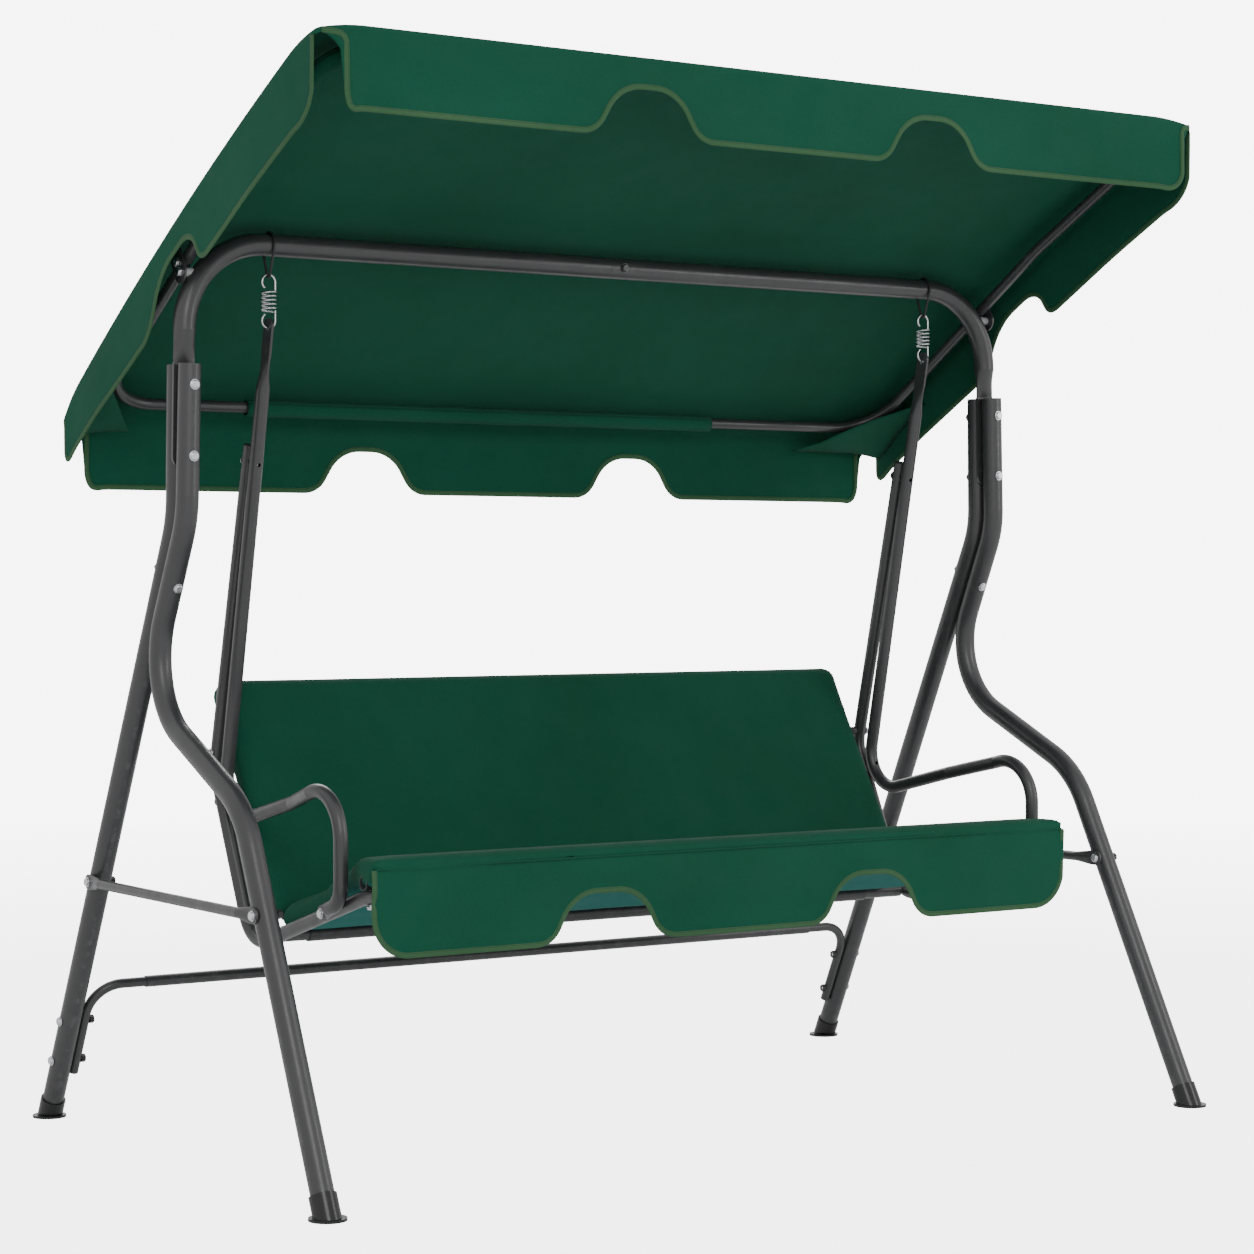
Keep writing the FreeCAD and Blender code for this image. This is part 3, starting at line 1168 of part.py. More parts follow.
back_bolts = []
back_spacers = []
bolt_z = f"(back_foot_height + back_bolt_reach * cos(back_slope * 1 deg)" \
         " - back_thickness / 2 * sin(back_slope * 1 deg))"
bolt_y = f"(back_foot_depth + back_bolt_reach * sin(back_slope * 1 deg)" \
         " + back_thickness / 2 * cos(back_slope * 1 deg))"
for side, sign in SIDES:
    inner = "back_frame_half + back_frame_tube / 2"
    length = f"hanger_half_width - seat_tube / 2 - ({inner})"
    at = (sign * value(inner), value(bolt_y), value(bolt_z))
    rod = cylinder(f"back_spacer_rod_{side}", "spacer_diameter / 2", length, along(at, (sign, 0, 0)))
    bore = cylinder(f"back_spacer_bore_{side}", "bolt_diameter / 2 + hole_gap", f"{length} + 2",
                    along((at[0] - sign, at[1], at[2]), (sign, 0, 0)))
    item = doc.addObject("Part::Cut", f"back_spacer_{side}")
    item.Base = rod
    item.Tool = bore
    back_spacers.append(item)
    face = "hanger_half_width + seat_tube / 2"
    place = along((sign * value(face), at[1], at[2]), (-sign, 0, 0))
    back_bolts.append(screw(f"back_bolt_{side}", place, f"seat_tube + {length} + back_frame_tube",
                            reach="-back_frame_wall - 1"))
    post = doc.getObject(f"seat_side_{side}")
    hole(post, "back_hole", "YZ_Plane", bolt_y, bolt_z, OPEN_HOLE)
group("back_bolts", back_bolts)
group("back_spacers", back_spacers)

# ---------------------------------------------------------------- seat padding

pad_body = new_body("seat_cushion")
sketch = new_sketch(pad_body, "outline", "YZ_Plane")
deep = "-(seat_front - roll_depth / 2)"
low = "cushion_lift"
high = "(cushion_lift + cushion_thickness)"
rounded_run(sketch, [("cushion_rear", f"{rail_z('cushion_rear')} + {low}", "cushion_corner"),
                     ("cushion_rear", f"{rail_z('cushion_rear')} + {high}", "cushion_corner"),
                     (deep, f"{rail_z(deep)} + {high}", "0"),
                     (deep, f"{rail_z(deep)} + {low} + 4", "0")], closed=True)
pad(pad_body, "pad", sketch, "2 * cushion_half_width")
roll = new_sketch(pad_body, "roll", "YZ_Plane")
ROLL_LOW = f"({FRONT_TUBE_Z} - seat_tube / 2 + roll_lift)"
ROLL_REAR = "(-seat_front + roll_depth)"
rounded_run(roll, [("-seat_front", ROLL_LOW, "roll_corner / 3"),
                   ("-seat_front", "roll_top", "roll_corner"),
                   (ROLL_REAR, "roll_top", "roll_corner"),
                   (ROLL_REAR, ROLL_LOW, "roll_corner / 3")], closed=True)
pad(pad_body, "roll_pad", roll, "2 * roll_half_width")
hole(pad_body, "front_tube_bore", "YZ_Plane", "-front_tube_depth", FRONT_TUBE_Z,
     "seat_tube + 2 * slip_gap")
OUTPUT.append(pad_body)

valance = new_body("seat_valance")
sketch = new_sketch(valance, "outline", "XZ_Plane", ("0", "0", "seat_front"))
low = "valance_top - seat_valance_drop"
high = f"{low} + seat_scallop_height"
half = "roll_half_width"
outline = [(f"-{half}", "valance_top", "0"), (f"-{half}", low, "seat_hem_radius")]
for centre in ("-seat_scallop_offset", "seat_scallop_offset"):
    outline += scallop(centre, low, high, "seat_scallop_low_width", "seat_scallop_top_width",
                       "hem_radius", "seat_scallop_radius")
outline += [(half, low, "seat_hem_radius"), (half, "valance_top", "0")]
rounded_run(sketch, outline, closed=True)
pad(valance, "sheet", sketch, "valance_thickness", both=False)
OUTPUT.append(valance)

front_bolts = []
for side, sign in SIDES:
    z = f"{FRONT_TUBE_Z} - seat_tube * 1.5 - part_gap - front_bolt_drop"
    place = along((sign * value("hanger_half_width"), value("-front_tube_depth"), value(z)),
                  (0, 0, 1))
    front_bolts.append(screw(f"front_tube_bolt_{side}", place, "2 * seat_tube + front_bolt_drop",
                             reach="-seat_tube / 3"))
    body = doc.getObject(f"seat_side_{side}")
    sketch = new_sketch(body, "front_bolt", "XY_Plane", ("0", "-front_tube_depth", "0"))
    add_circle(sketch, "0", "0", f"({OPEN_HOLE}) / 2")
    item = body.newObject("PartDesign::Pocket", f"{body.Name}_front_bolt_cut")
    item.Profile = sketch
    item.Midplane = True
    bind(item, "Length", f"4 * {FRONT_TUBE_Z}")
    body.Tip = item
    doc.recompute()
group("front_tube_bolts", front_bolts)
front_tube = doc.getObject("seat_front_tube")
sketch = new_sketch(front_tube, "bolt_holes", "XY_Plane")
for side, sign in SIDES:
    add_circle(sketch, f"{sign} * hanger_half_width", "0", f"({OPEN_HOLE}) / 2")
drill(front_tube, "bolt_cut", sketch)

# ---------------------------------------------------------------- check and export

doc.recompute()
os.makedirs("parts", exist_ok=True)
for item in doc.Objects:
    if "Invalid" in item.State or "Error" in item.State:
        raise RuntimeError(f"{item.Name} did not rebuild")
for item in OUTPUT:
    item.Label = item.Name
    if item.Shape.isNull() or not item.Shape.isValid():
        raise RuntimeError(f"{item.Name} has no valid shape")
    item.Shape.exportStep(f"parts/{item.Name}.step")
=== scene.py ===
"""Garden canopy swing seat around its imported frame: cloth canopy, padded seat and back, metal finishes.

Metres, the frame's own axes: +X to the sitter's left, -Y to the front, +Z up.
"""

import math

import bmesh
import bpy
import numpy as np
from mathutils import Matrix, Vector, noise


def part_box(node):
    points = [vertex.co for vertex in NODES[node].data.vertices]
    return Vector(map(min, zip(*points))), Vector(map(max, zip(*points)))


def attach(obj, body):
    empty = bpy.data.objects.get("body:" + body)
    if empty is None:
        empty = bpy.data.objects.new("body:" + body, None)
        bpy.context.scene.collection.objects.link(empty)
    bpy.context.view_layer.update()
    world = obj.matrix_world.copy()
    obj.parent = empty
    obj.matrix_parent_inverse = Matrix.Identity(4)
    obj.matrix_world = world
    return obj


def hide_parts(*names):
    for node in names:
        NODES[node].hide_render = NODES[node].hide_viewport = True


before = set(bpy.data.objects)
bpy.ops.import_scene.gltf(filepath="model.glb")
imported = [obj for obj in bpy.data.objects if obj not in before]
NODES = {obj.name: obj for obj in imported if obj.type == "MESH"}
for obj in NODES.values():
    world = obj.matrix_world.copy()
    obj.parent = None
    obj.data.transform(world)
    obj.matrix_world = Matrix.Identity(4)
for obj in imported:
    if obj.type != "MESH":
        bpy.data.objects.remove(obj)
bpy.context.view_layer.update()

# ---------------------------------------------------------------- materials


class Shade:
    """One procedural material on a Principled shader."""

    def __init__(self, name, **sockets):
        self.material = bpy.data.materials.new(name)
        self.material.use_nodes = True
        self.tree = self.material.node_tree
        self.shader = self.tree.nodes["Principled BSDF"]
        for socket, number in sockets.items():
            self.shader.inputs[socket.replace("_", " ")].default_value = number
        self.place = self.node("ShaderNodeTexCoord").outputs["Object"]

    def node(self, kind, links=None, **values):
        item = self.tree.nodes.new(kind)
        for key, number in values.items():
            setattr(item, key, number)
        for socket, source in (links or {}).items():
            target = item.inputs[socket]
            if isinstance(source, bpy.types.NodeSocket):
                self.tree.links.new(source, target)
            else:
                target.default_value = source
        return item

    def math(self, operation, a, b=0.0):
        return self.node("ShaderNodeMath", {0: a, 1: b}, operation=operation).outputs[0]

    def noise(self, scale, detail=3.0, rough=0.55, vector=None):
        return self.node("ShaderNodeTexNoise", {
            "Vector": vector or self.place, "Scale": scale, "Detail": detail,
            "Roughness": rough}).outputs["Fac"]

    def ramp(self, factor, low, high, start=0.0, end=1.0):
        return self.node("ShaderNodeMapRange", {
            "Value": factor, "From Min": start, "From Max": end,
            "To Min": low, "To Max": high}).outputs["Result"]

    def colour(self, factor, first, second):
        mix = self.node("ShaderNodeMix", {"Factor": factor}, data_type="RGBA")
        mix.inputs[6].default_value = (*first, 1)
        mix.inputs[7].default_value = (*second, 1)
        return mix.outputs[2]

    def tint(self, factor, base, second):
        mix = self.node("ShaderNodeMix", {"Factor": factor, 6: base}, data_type="RGBA")
        mix.inputs[7].default_value = (*second, 1)
        return mix.outputs[2]

    def set(self, socket, source):
        self.tree.links.new(source, self.shader.inputs[socket])

    def bump(self, height, strength, distance):
        self.set("Normal", self.node("ShaderNodeBump", {
            "Height": height, "Strength": strength, "Distance": distance}).outputs["Normal"])


def powder_coat(name, dark, light, rough, wear):
    """Baked powder coat: orange-peel skin, faint dust, and rubbed spots on edges."""
    item = Shade(name, Specular_IOR_Level=0.5, Coat_Weight=0.25, Coat_Roughness=0.22)
    patch = item.noise(9.0, 4.0)
    base = item.colour(item.ramp(patch, 0, 1, 0.3, 0.7), dark, light)
    geometry = item.node("ShaderNodeNewGeometry")
    edge = item.ramp(geometry.outputs["Pointiness"], 0, wear, 0.58, 0.72)
    rubbed = item.math("MULTIPLY", edge, item.ramp(item.noise(60.0, 5.0), 0, 1, 0.5, 0.62))
    item.set("Base Color", item.tint(rubbed, base, (0.11, 0.11, 0.113)))
    item.set("Roughness", item.ramp(item.noise(35.0, 4.0), rough - 0.06, rough + 0.09, 0.3, 0.7))
    item.bump(item.noise(900.0, 2.0), 0.16, 0.0006)
    return item.material


def moulded(name, dark, light, rough, grain):
    """Moulded plastic with a fine grain and a slow change of shade."""
    item = Shade(name, Specular_IOR_Level=0.45)
    item.set("Base Color", item.colour(item.ramp(item.noise(25.0), 0, 1, 0.3, 0.7), dark, light))
    item.set("Roughness", item.ramp(item.noise(70.0), rough - 0.05, rough + 0.08, 0.3, 0.7))
    item.bump(item.noise(grain, 3.0), 0.12, 0.0004)
    return item.material


def plated(name, dark, light, rough):
    """Bright zinc or chrome plate with fine drawn lines and small dull spots."""
    item = Shade(name, Metallic=1.0)
    item.set("Base Color", item.colour(item.ramp(item.noise(120.0), 0, 1, 0.3, 0.7), dark, light))
    item.set("Roughness", item.ramp(item.noise(260.0, 5.0), rough - 0.04, rough + 0.14, 0.3, 0.7))
    item.bump(item.noise(1500.0, 3.0), 0.1, 0.0002)
    return item.material


THREAD = 0.0011


def woven(name, dark, light, lean, sheen=0.03, rough=0.86, thread=THREAD, back=None):
    """Plain-weave polyester: crossing threads in bump and tone, slow changes of tone, faint creases; with
    `back`, faces that look down get a painted backlight tint.
    """
    item = Shade(name, Specular_IOR_Level=0.12, Sheen_Weight=sheen, Sheen_Roughness=0.5)
    split = item.node("ShaderNodeSeparateXYZ", {0: item.place})
    down = item.math("ADD", split.outputs["Y"], item.math("MULTIPLY", split.outputs["Z"], lean))
    turn = math.tau / thread
    warp = item.math("SINE", item.math("MULTIPLY", split.outputs["X"], turn))
    weft = item.math("SINE", item.math("MULTIPLY", down, turn))
    cloth = item.math("MULTIPLY", warp, weft)
    slow = item.ramp(item.noise(2.6, 3.0), 0, 0.75, 0.32, 0.68)
    slub = item.ramp(item.noise(240.0, 2.0), 0, 0.3, 0.35, 0.7)
    tone = item.math("ADD", item.math("ADD", slow, slub), item.ramp(cloth, -0.1, 0.1, -1, 1))
    base = item.colour(tone, dark, light)
    # painted backlight: faces that look down take the `back` colour, which stands in for light shining
    # through the cloth from behind
    if back:
        facing = item.node("ShaderNodeNewGeometry").outputs["Normal"]
        up = item.node("ShaderNodeSeparateXYZ", {0: facing}).outputs["Z"]
        base = item.tint(item.ramp(up, 1, 0, -0.75, -0.45), base, back)
    item.set("Base Color", base)
    item.set("Roughness", item.ramp(item.noise(18.0), rough - 0.07, rough + 0.06, 0.3, 0.7))
    crease = item.math("MULTIPLY", item.noise(11.0, 4.0, 0.5), 2.2)
    height = item.math("ADD", item.math("MULTIPLY", cloth, 0.12), crease)
    item.bump(height, 0.35, 0.0016)
    return item.material


GREEN_DARK = (0.0030, 0.060, 0.032)
GREEN_LIGHT = (0.0048, 0.078, 0.044)
CLOTH_DOWN = woven("green_cloth", GREEN_DARK, GREEN_LIGHT, -1.0)
CLOTH_UP = woven("green_cloth_back", GREEN_DARK, GREEN_LIGHT, 1.0)
# seat cloth whose downward faces carry the painted teal backlight
SEAT_CLOTH = woven("green_cloth_seat", GREEN_DARK, GREEN_LIGHT, -1.0, back=(0.001, 0.115, 0.098))
# painted backlight: a teal that stands in for light shining through the cloth from behind
TEAL_BACKLIT = woven("teal_painted_backlight_cloth", (0.001, 0.105, 0.090), (0.002, 0.130, 0.112), -1.0, rough=0.7)
BINDING = woven("olive_binding", (0.030, 0.085, 0.038), (0.048, 0.115, 0.054), -1.0,
                sheen=0.03, rough=0.74, thread=0.0016)
THREAD_GREEN = woven("sewing_thread", (0.016, 0.075, 0.040), (0.03, 0.10, 0.055), -1.0,
                     rough=0.6, thread=0.0005)

METALS = {
    "charcoal_frame": powder_coat("charcoal_coat", (0.028, 0.028, 0.030), (0.036, 0.036, 0.038),
                                  0.36, 0.5),
    # painted shade: the seat's rear cross tube gets a near-black coat for the shade under the seat, where
    # light from above does not reach
    "black_tube": powder_coat("painted_shade_black_coat", (0.010, 0.010, 0.011), (0.020, 0.020, 0.021),
                              0.42, 0.35),
    "foot_plastic": moulded("foot_plastic_gloss", (0.006, 0.006, 0.007), (0.012, 0.012, 0.013),
                            0.22, 300.0),
    "cap_plastic": moulded("cap_plastic_matt", (0.012, 0.012, 0.013), (0.022, 0.022, 0.024),
                           0.5, 600.0),
    "lug_plastic": moulded("lug_plastic_grey", (0.30, 0.30, 0.31), (0.42, 0.42, 0.43),
                           0.42, 500.0),
    "zinc_bolt": plated("zinc_plate", (0.55, 0.56, 0.58), (0.78, 0.78, 0.80), 0.24),
    "dark_nut": moulded("nut_cover_black", (0.008, 0.008, 0.008), (0.018, 0.018, 0.018),
                        0.36, 400.0),
    "spring_chrome": plated("spring_plate", (0.50, 0.50, 0.52), (0.72, 0.72, 0.74), 0.20),
}

for item in NODES.values():
    for place in item.material_slots:
        finish = next((METALS[k] for k in METALS if place.material.name.startswith(k)), None)
        if finish:
            place.material = finish
for name, finish in (("beam_joint_bolt", "charcoal_frame"), ("beam_loops", "cap_plastic")):
    for place in NODES[name].material_slots:
        place.material = METALS[finish]

# ---------------------------------------------------------------- mesh helpers


def piece(name, points, faces, material, body):
    mesh = bpy.data.meshes.new(name)
    mesh.from_pydata([tuple(p) for p in points], [], faces)
    mesh.validate()
    mesh.materials.append(material)
    for face in mesh.polygons:
        face.use_smooth = True
    item = bpy.data.objects.new(name, mesh)
    bpy.context.scene.collection.objects.link(item)
    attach(item, body)
    return item


def apply_modifiers(item):
    graph = bpy.context.evaluated_depsgraph_get()
    graph.update()
    mesh = bpy.data.meshes.new_from_object(item.evaluated_get(graph), depsgraph=graph)
    old = item.data
    item.modifiers.clear()
    item.data = mesh
    bpy.data.meshes.remove(old)


def outward(item):
    """Turns every face of a closed mesh to point out."""
    work = bmesh.new()
    work.from_mesh(item.data)
    bmesh.ops.recalc_face_normals(work, faces=work.faces)
    work.to_mesh(item.data)
    work.free()


def thicken(item, thickness):
    solid = item.modifiers.new("thickness", "SOLIDIFY")
    solid.thickness = thickness
    solid.offset = 0.0
    apply_modifiers(item)
    outward(item)


SAME_POINT = 1e-6


def rounded(corners, step=0.004):
    """Points along straight runs whose corners are rounded; a corner is (across, up, radius)."""
    flat = [np.array(c[:2], float) for c in corners]
    line = [flat[0]]
    for i in range(1, len(corners) - 1):
        radius = corners[i][2]
        into = (flat[i - 1] - flat[i]) / np.linalg.norm(flat[i - 1] - flat[i])
        out = (flat[i + 1] - flat[i]) / np.linalg.norm(flat[i + 1] - flat[i])
        half = math.acos(np.clip(into @ out, -1, 1)) / 2
        reach = radius / math.tan(half)
        first, last = flat[i] + into * reach, flat[i] + out * reach
        centre = flat[i] + (into + out) / np.linalg.norm(into + out) * radius / math.sin(half)
        sweep = math.pi - 2 * half
        count = max(2, int(radius * sweep / step))
        a, b = first - centre, last - centre
        for k in range(count + 1):
            t = k / count
            mixed = (math.sin((1 - t) * sweep) * a + math.sin(t * sweep) * b) / math.sin(sweep)
            line.append(centre + mixed)
    line.append(flat[-1])
    dense = [line[0]]
    for point in line[1:]:
        start = dense[-1]
        gap = np.linalg.norm(point - start)
        if gap < SAME_POINT:
            continue
        count = max(1, int(gap / (2 * step)))
        dense += [start + (point - start) * k / count for k in range(1, count + 1)]
    return np.array(dense)


def grid_faces(rows, columns):
    """Quads between rows of points, each row with the same number of columns."""
    return [[a, a + 1, a + columns + 1, a + columns]
            for r in range(rows - 1)
            for a in range(r * columns, r * columns + columns - 1)]


def tube_faces(rings, around):
    """Quads between closed rings of points, with a cap on the first and the last ring."""
    quads = []
    for r in range(rings - 1):
        for c in range(around):
            a, b = r * around + c, r * around + (c + 1) % around
            quads.append([a, b, b + around, a + around])
    quads.append(list(range(around))[::-1])
    quads.append([(rings - 1) * around + c for c in range(around)])
    return quads


def ripple(x, y, z, size, pitch):
    """A small smooth offset that depends only on where the point is."""
    return size * noise.noise(Vector((x, y, z)) * pitch)


# ---------------------------------------------------------------- canopy cloth

CLOTH = 0.0014
FOLD = 0.009
front_low, front_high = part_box("canopy_valance_front")
rear_low, rear_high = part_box("canopy_valance_rear")
side_low, side_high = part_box("canopy_valance_left")
HALF = (side_low.x + side_high.x) / 2
FRONT_Y, FRONT_Z = (front_low.y + front_high.y) / 2, front_high.z - 0.0015
REAR_Y, REAR_Z = (rear_low.y + rear_high.y) / 2, rear_high.z - 0.0015
LENGTH = math.hypot(REAR_Y - FRONT_Y, REAR_Z - FRONT_Z)
ALONG = np.array([0, REAR_Y - FRONT_Y, REAR_Z - FRONT_Z]) / LENGTH
UPWARD = np.array([0, -ALONG[2], ALONG[1]])
DROP = front_high.z - front_low.z
EDGE_RISE, CROWN, RIDGE = 0.020, 0.036, 0.676
CORNER_SAG, CORNER_REACH = 0.014, 0.085
NOTCH, NOTCH_LOW, NOTCH_HIGH, NOTCH_RISE = 0.273, 0.092, 0.050, 0.072
HEM_ROUND, NOTCH_ROUND = 0.046, 0.066


def arch(s):
    """How far the cloth bows up at `s` along the slope, 0 at both edges and 1 between them."""
    return 1 - (2 * s / LENGTH - 1) ** 2


def canopy_point(x, s, still=False):
    shoulder = max(0.0, (abs(x) - RIDGE) / (HALF - RIDGE))
    lift = arch(s) * (EDGE_RISE + CROWN * (1 - shoulder ** 2))
    to_corner = math.hypot(HALF - abs(x), min(s, LENGTH - s))
    lift -= CORNER_SAG * max(0.0, 1 - to_corner / CORNER_REACH) ** 2
    point = np.array([x, FRONT_Y, FRONT_Z]) + ALONG * s + UPWARD * lift
    if still:
        return point
    calm = min(1.0, s / 0.12, (LENGTH - s) / 0.12, (HALF - abs(x)) / 0.10)
    wave = ripple(x, s, 0.3, 0.004, 3.2) + ripple(x, s, 1.7, 0.0016, 9.0)
    return point + UPWARD * (abs(wave) * max(calm, 0.0))


def front_hem(half, drop, notch, low, high, rise, corner):
    """Down one end, along a hem with two notches at +-`notch`, and up the other end."""
    line = [(-half, 0, 0), (-half, -drop, corner)]
    for centre in (-notch, notch):
        line += [(centre - low, -drop, HEM_ROUND), (centre - high, rise - drop, NOTCH_ROUND),
                 (centre + high, rise - drop, NOTCH_ROUND), (centre + low, -drop, HEM_ROUND)]
    line += [(half, -drop, corner), (half, 0, 0)]
    return rounded(line)


def hem_columns(hem, spacing=0.012):
    """Column places that hold every hem point, with even ones between."""
    low, high = hem[:, 0].min(), hem[:, 0].max()
    even = np.linspace(low, high, int((high - low) / spacing) + 1)
    places = np.unique(np.round(np.concatenate([hem[:, 0], even]), 5))
    keep = [places[0]]
    for place in places[1:]:
        if place - keep[-1] > 0.0007:
            keep.append(place)
    keep[-1] = high
    return np.array(keep)


def hem_depth(hem, places, below):
    """How deep the hem hangs at each place; its points above `below` are the vertical ends."""
    line = hem[hem[:, 1] < below]
    order = np.argsort(line[:, 0], kind="stable")
    return np.interp(places, line[order, 0], line[order, 1])


EDGE = HALF - FOLD
front_line = front_hem(EDGE, DROP, NOTCH, NOTCH_LOW, NOTCH_HIGH, NOTCH_RISE, HEM_ROUND)
SIDE_NOTCH, SIDE_NOTCH_LOW, SIDE_NOTCH_HIGH = 0.495, 0.098, 0.054
SIDE_REAR_DROP = DROP - 0.026
side_line = rounded([
    (FOLD, 0, 0), (FOLD, -DROP, HEM_ROUND), (SIDE_NOTCH - SIDE_NOTCH_LOW, -DROP, HEM_ROUND),
    (SIDE_NOTCH - SIDE_NOTCH_HIGH, NOTCH_RISE - DROP, NOTCH_ROUND),
    (SIDE_NOTCH + SIDE_NOTCH_HIGH, NOTCH_RISE - DROP, NOTCH_ROUND),
    (SIDE_NOTCH + SIDE_NOTCH_LOW, -DROP, HEM_ROUND),
    (LENGTH - FOLD, -SIDE_REAR_DROP, HEM_ROUND), (LENGTH - FOLD, 0, 0)])
xs = hem_columns(front_line)
ss = hem_columns(side_line)
x_depth, s_depth = (hem_depth(line, places, -FOLD * 1.5)
                    for line, places in ((front_line, xs), (side_line, ss)))

points, faces = [], []


def add(point):
    points.append(np.array(point, float))
    return len(points) - 1


top = [[add(canopy_point(x, s)) for x in xs] for s in ss]
faces += grid_faces(len(ss), len(xs))

ROWS = 14
BEND = 5


def hang(start, edge, down_to, sway):
    """One column of hanging cloth: over the fold at `edge`, then down; returns its new points."""
    column = []
    start, edge = np.array(start), np.array(edge)
    low = edge + np.array([0, 0, -FOLD])
    for k in range(1, BEND + 1):
        t = k / BEND
        column.append((1 - t) ** 2 * start + 2 * t * (1 - t) * edge + t * t * low)
    for k in range(1, ROWS + 1):
        z = -FOLD + (down_to + FOLD) * k / ROWS
        point = edge + np.array([0, 0, z])
        column.append(point + sway(point, k / ROWS))
    return column


SLIT_REACH = 0.11
FRONT_SLITS = {-1: 0.036, 1: 0.012}
REAR_SLITS = {-1: 0.030, 1: 0.030}


def sway_with_slits(slits):
    """A skirt that ripples, and whose free ends stand back from the corner slits."""
    def sway(point, t):
        side = -1 if point[0] < 0 else 1
        near = max(0.0, 1 - (EDGE - abs(point[0])) / SLIT_REACH) ** 2
        back = slits[side] * near * min(1.0, 4 * t) ** 0.6 * (0.75 + 0.25 * t)
        return np.array([-side * back, ripple(point[0], 0.0, point[2], 0.0035, 5.0) * t, 0])
    return sway


def sway_side(point, t):
    return np.array([ripple(0.0, point[1], point[2], 0.0035, 6.0) * t, 0, 0])


def skirt(starts, edges, depths, sway, flip):
    columns = []
    for start, edge, depth in zip(starts, edges, depths):
        columns.append([start] + [add(p) for p in hang(points[start], edge, depth, sway)])
    for left, right in zip(columns, columns[1:]):
        for k in range(len(left) - 1):
            quad = [left[k], right[k], right[k + 1], left[k + 1]]
            faces.append(quad[::-1] if flip else quad)
    return columns


front_skirt = skirt(top[0], [canopy_point(x, 0, True) for x in xs], x_depth,
                    sway_with_slits(FRONT_SLITS), True)
rear_skirt = skirt(top[-1], [canopy_point(x, LENGTH, True) for x in xs], x_depth,
                   sway_with_slits(REAR_SLITS), False)
left_skirt = skirt([row[-1] for row in top], [canopy_point(HALF, s, True) for s in ss], s_depth,
                   sway_side, True)
right_skirt = skirt([row[0] for row in top], [canopy_point(-HALF, s, True) for s in ss], s_depth,
                    sway_side, False)


def corner(a, b, flip):
    """Closes the rounded corner above a slit between the ends of two skirts."""
    for k in range(BEND):
        ring = [a[k], a[k + 1], b[k + 1], b[k]] if k else [a[0], a[1], b[1]]
        faces.append(ring[::-1] if flip else ring)


corner(front_skirt[-1], left_skirt[0], False)
corner(front_skirt[0], right_skirt[0], True)
corner(rear_skirt[-1], left_skirt[-1], True)
corner(rear_skirt[0], right_skirt[-1], False)

canopy = piece("canopy_cloth", points, faces, CLOTH_DOWN, "canopy")


def edge_path(columns):
    """The free edge of a skirt: down one end, along the hem, up the other end."""
    first = [points[i] for i in columns[0][BEND:]]
    hem = [points[c[-1]] for c in columns[1:-1]]
    last = [points[i] for i in columns[-1][:BEND - 1:-1]]
    return np.array(first + hem + last)


def even_path(path, step):
    gaps = np.linalg.norm(np.diff(path, axis=0), axis=1)
    run = np.concatenate([[0], np.cumsum(gaps)])
    count = max(2, int(run[-1] / step))
    at = np.linspace(0, run[-1], count + 1)
    return np.stack([np.interp(at, run, path[:, i]) for i in range(3)], axis=1)


def frames(path, face):
    """Unit directions along a path, into the cloth and off its face."""
    along = np.gradient(path, axis=0)
    along /= np.linalg.norm(along, axis=1)[:, None]
    off = np.tile(np.array(face, float), (len(path), 1))
    into = np.cross(off, along)
    into /= np.linalg.norm(into, axis=1)[:, None]
    return along, into, off


def facing_in(path, face):
    """`face` or its opposite, whichever makes frames() point into the cloth along the path."""
    _, into, _ = frames(even_path(path, 0.02), face)
    return tuple(-f for f in face) if into[len(into) // 5][2] < 0 else face


TAPE_WIDTH, TAPE_THICK = 0.0075, 0.0006


def binding(name, path, face, body):
    """Bias tape folded over a raw edge: a soft U-section along the path."""
    path = even_path(path, 0.005)
    _, into, off = frames(path, face)
    half, width = CLOTH / 2 + TAPE_THICK, TAPE_WIDTH
    section = [(width, half * 0.8), (width * 0.9, half * 1.25), (width * 0.45, half * 1.45),
               (0.0006, half * 1.3), (-half * 0.7, half * 0.6), (-half, 0),
               (-half * 0.7, -half * 0.6), (0.0006, -half * 1.3), (width * 0.45, -half * 1.45),
               (width * 0.9, -half * 1.25), (width, -half * 0.8)]
    found = []
    for p, i, o in zip(path, into, off):
        found += [p + i * a + o * b for a, b in section]
    item = piece(name, found, tube_faces(len(path), len(section)), BINDING, body)
    outward(item)
    return item


STITCH_PITCH, STITCH_LENGTH, STITCH_SIZE = 0.0042, 0.0029, 0.00042
STITCH_INSET = 0.0058
STITCH_LIFT = CLOTH / 2 + 0.0013


def stitches(name, edges, body):
    """Lock stitches: small domed threads along each edge (path, face), on both sides of it."""
    found, quads = [], []
    length, size = STITCH_LENGTH, STITCH_SIZE
    for path, face in edges:
        path = even_path(path, STITCH_PITCH)
        along, into, off = frames(path, face)
        for lift in (STITCH_LIFT, -STITCH_LIFT):
            for p, a, i, o in zip(path[1:-1], along[1:-1], into[1:-1], off[1:-1]):
                centre = p + i * STITCH_INSET + o * lift
                first = len(found)
                found.append(centre - a * length / 2 - o * size * 0.5)
                for shift in (-0.3, 0.3):
                    for angle in (0, 90, 180, 270):
                        turn = math.radians(angle)
                        found.append(centre + a * length * shift
                                     + (i * math.cos(turn) + o * math.sin(turn)) * size)
                found.append(centre + a * length / 2 - o * size * 0.5)
                for k in range(4):
                    m = (k + 1) % 4
                    quads.append([first, first + 1 + m, first + 1 + k])
                    quads.append([first + 1 + k, first + 1 + m, first + 5 + m, first + 5 + k])
                    quads.append([first + 5 + k, first + 5 + m, first + 9])
    return piece(name, found, quads, THREAD_GREEN, body)


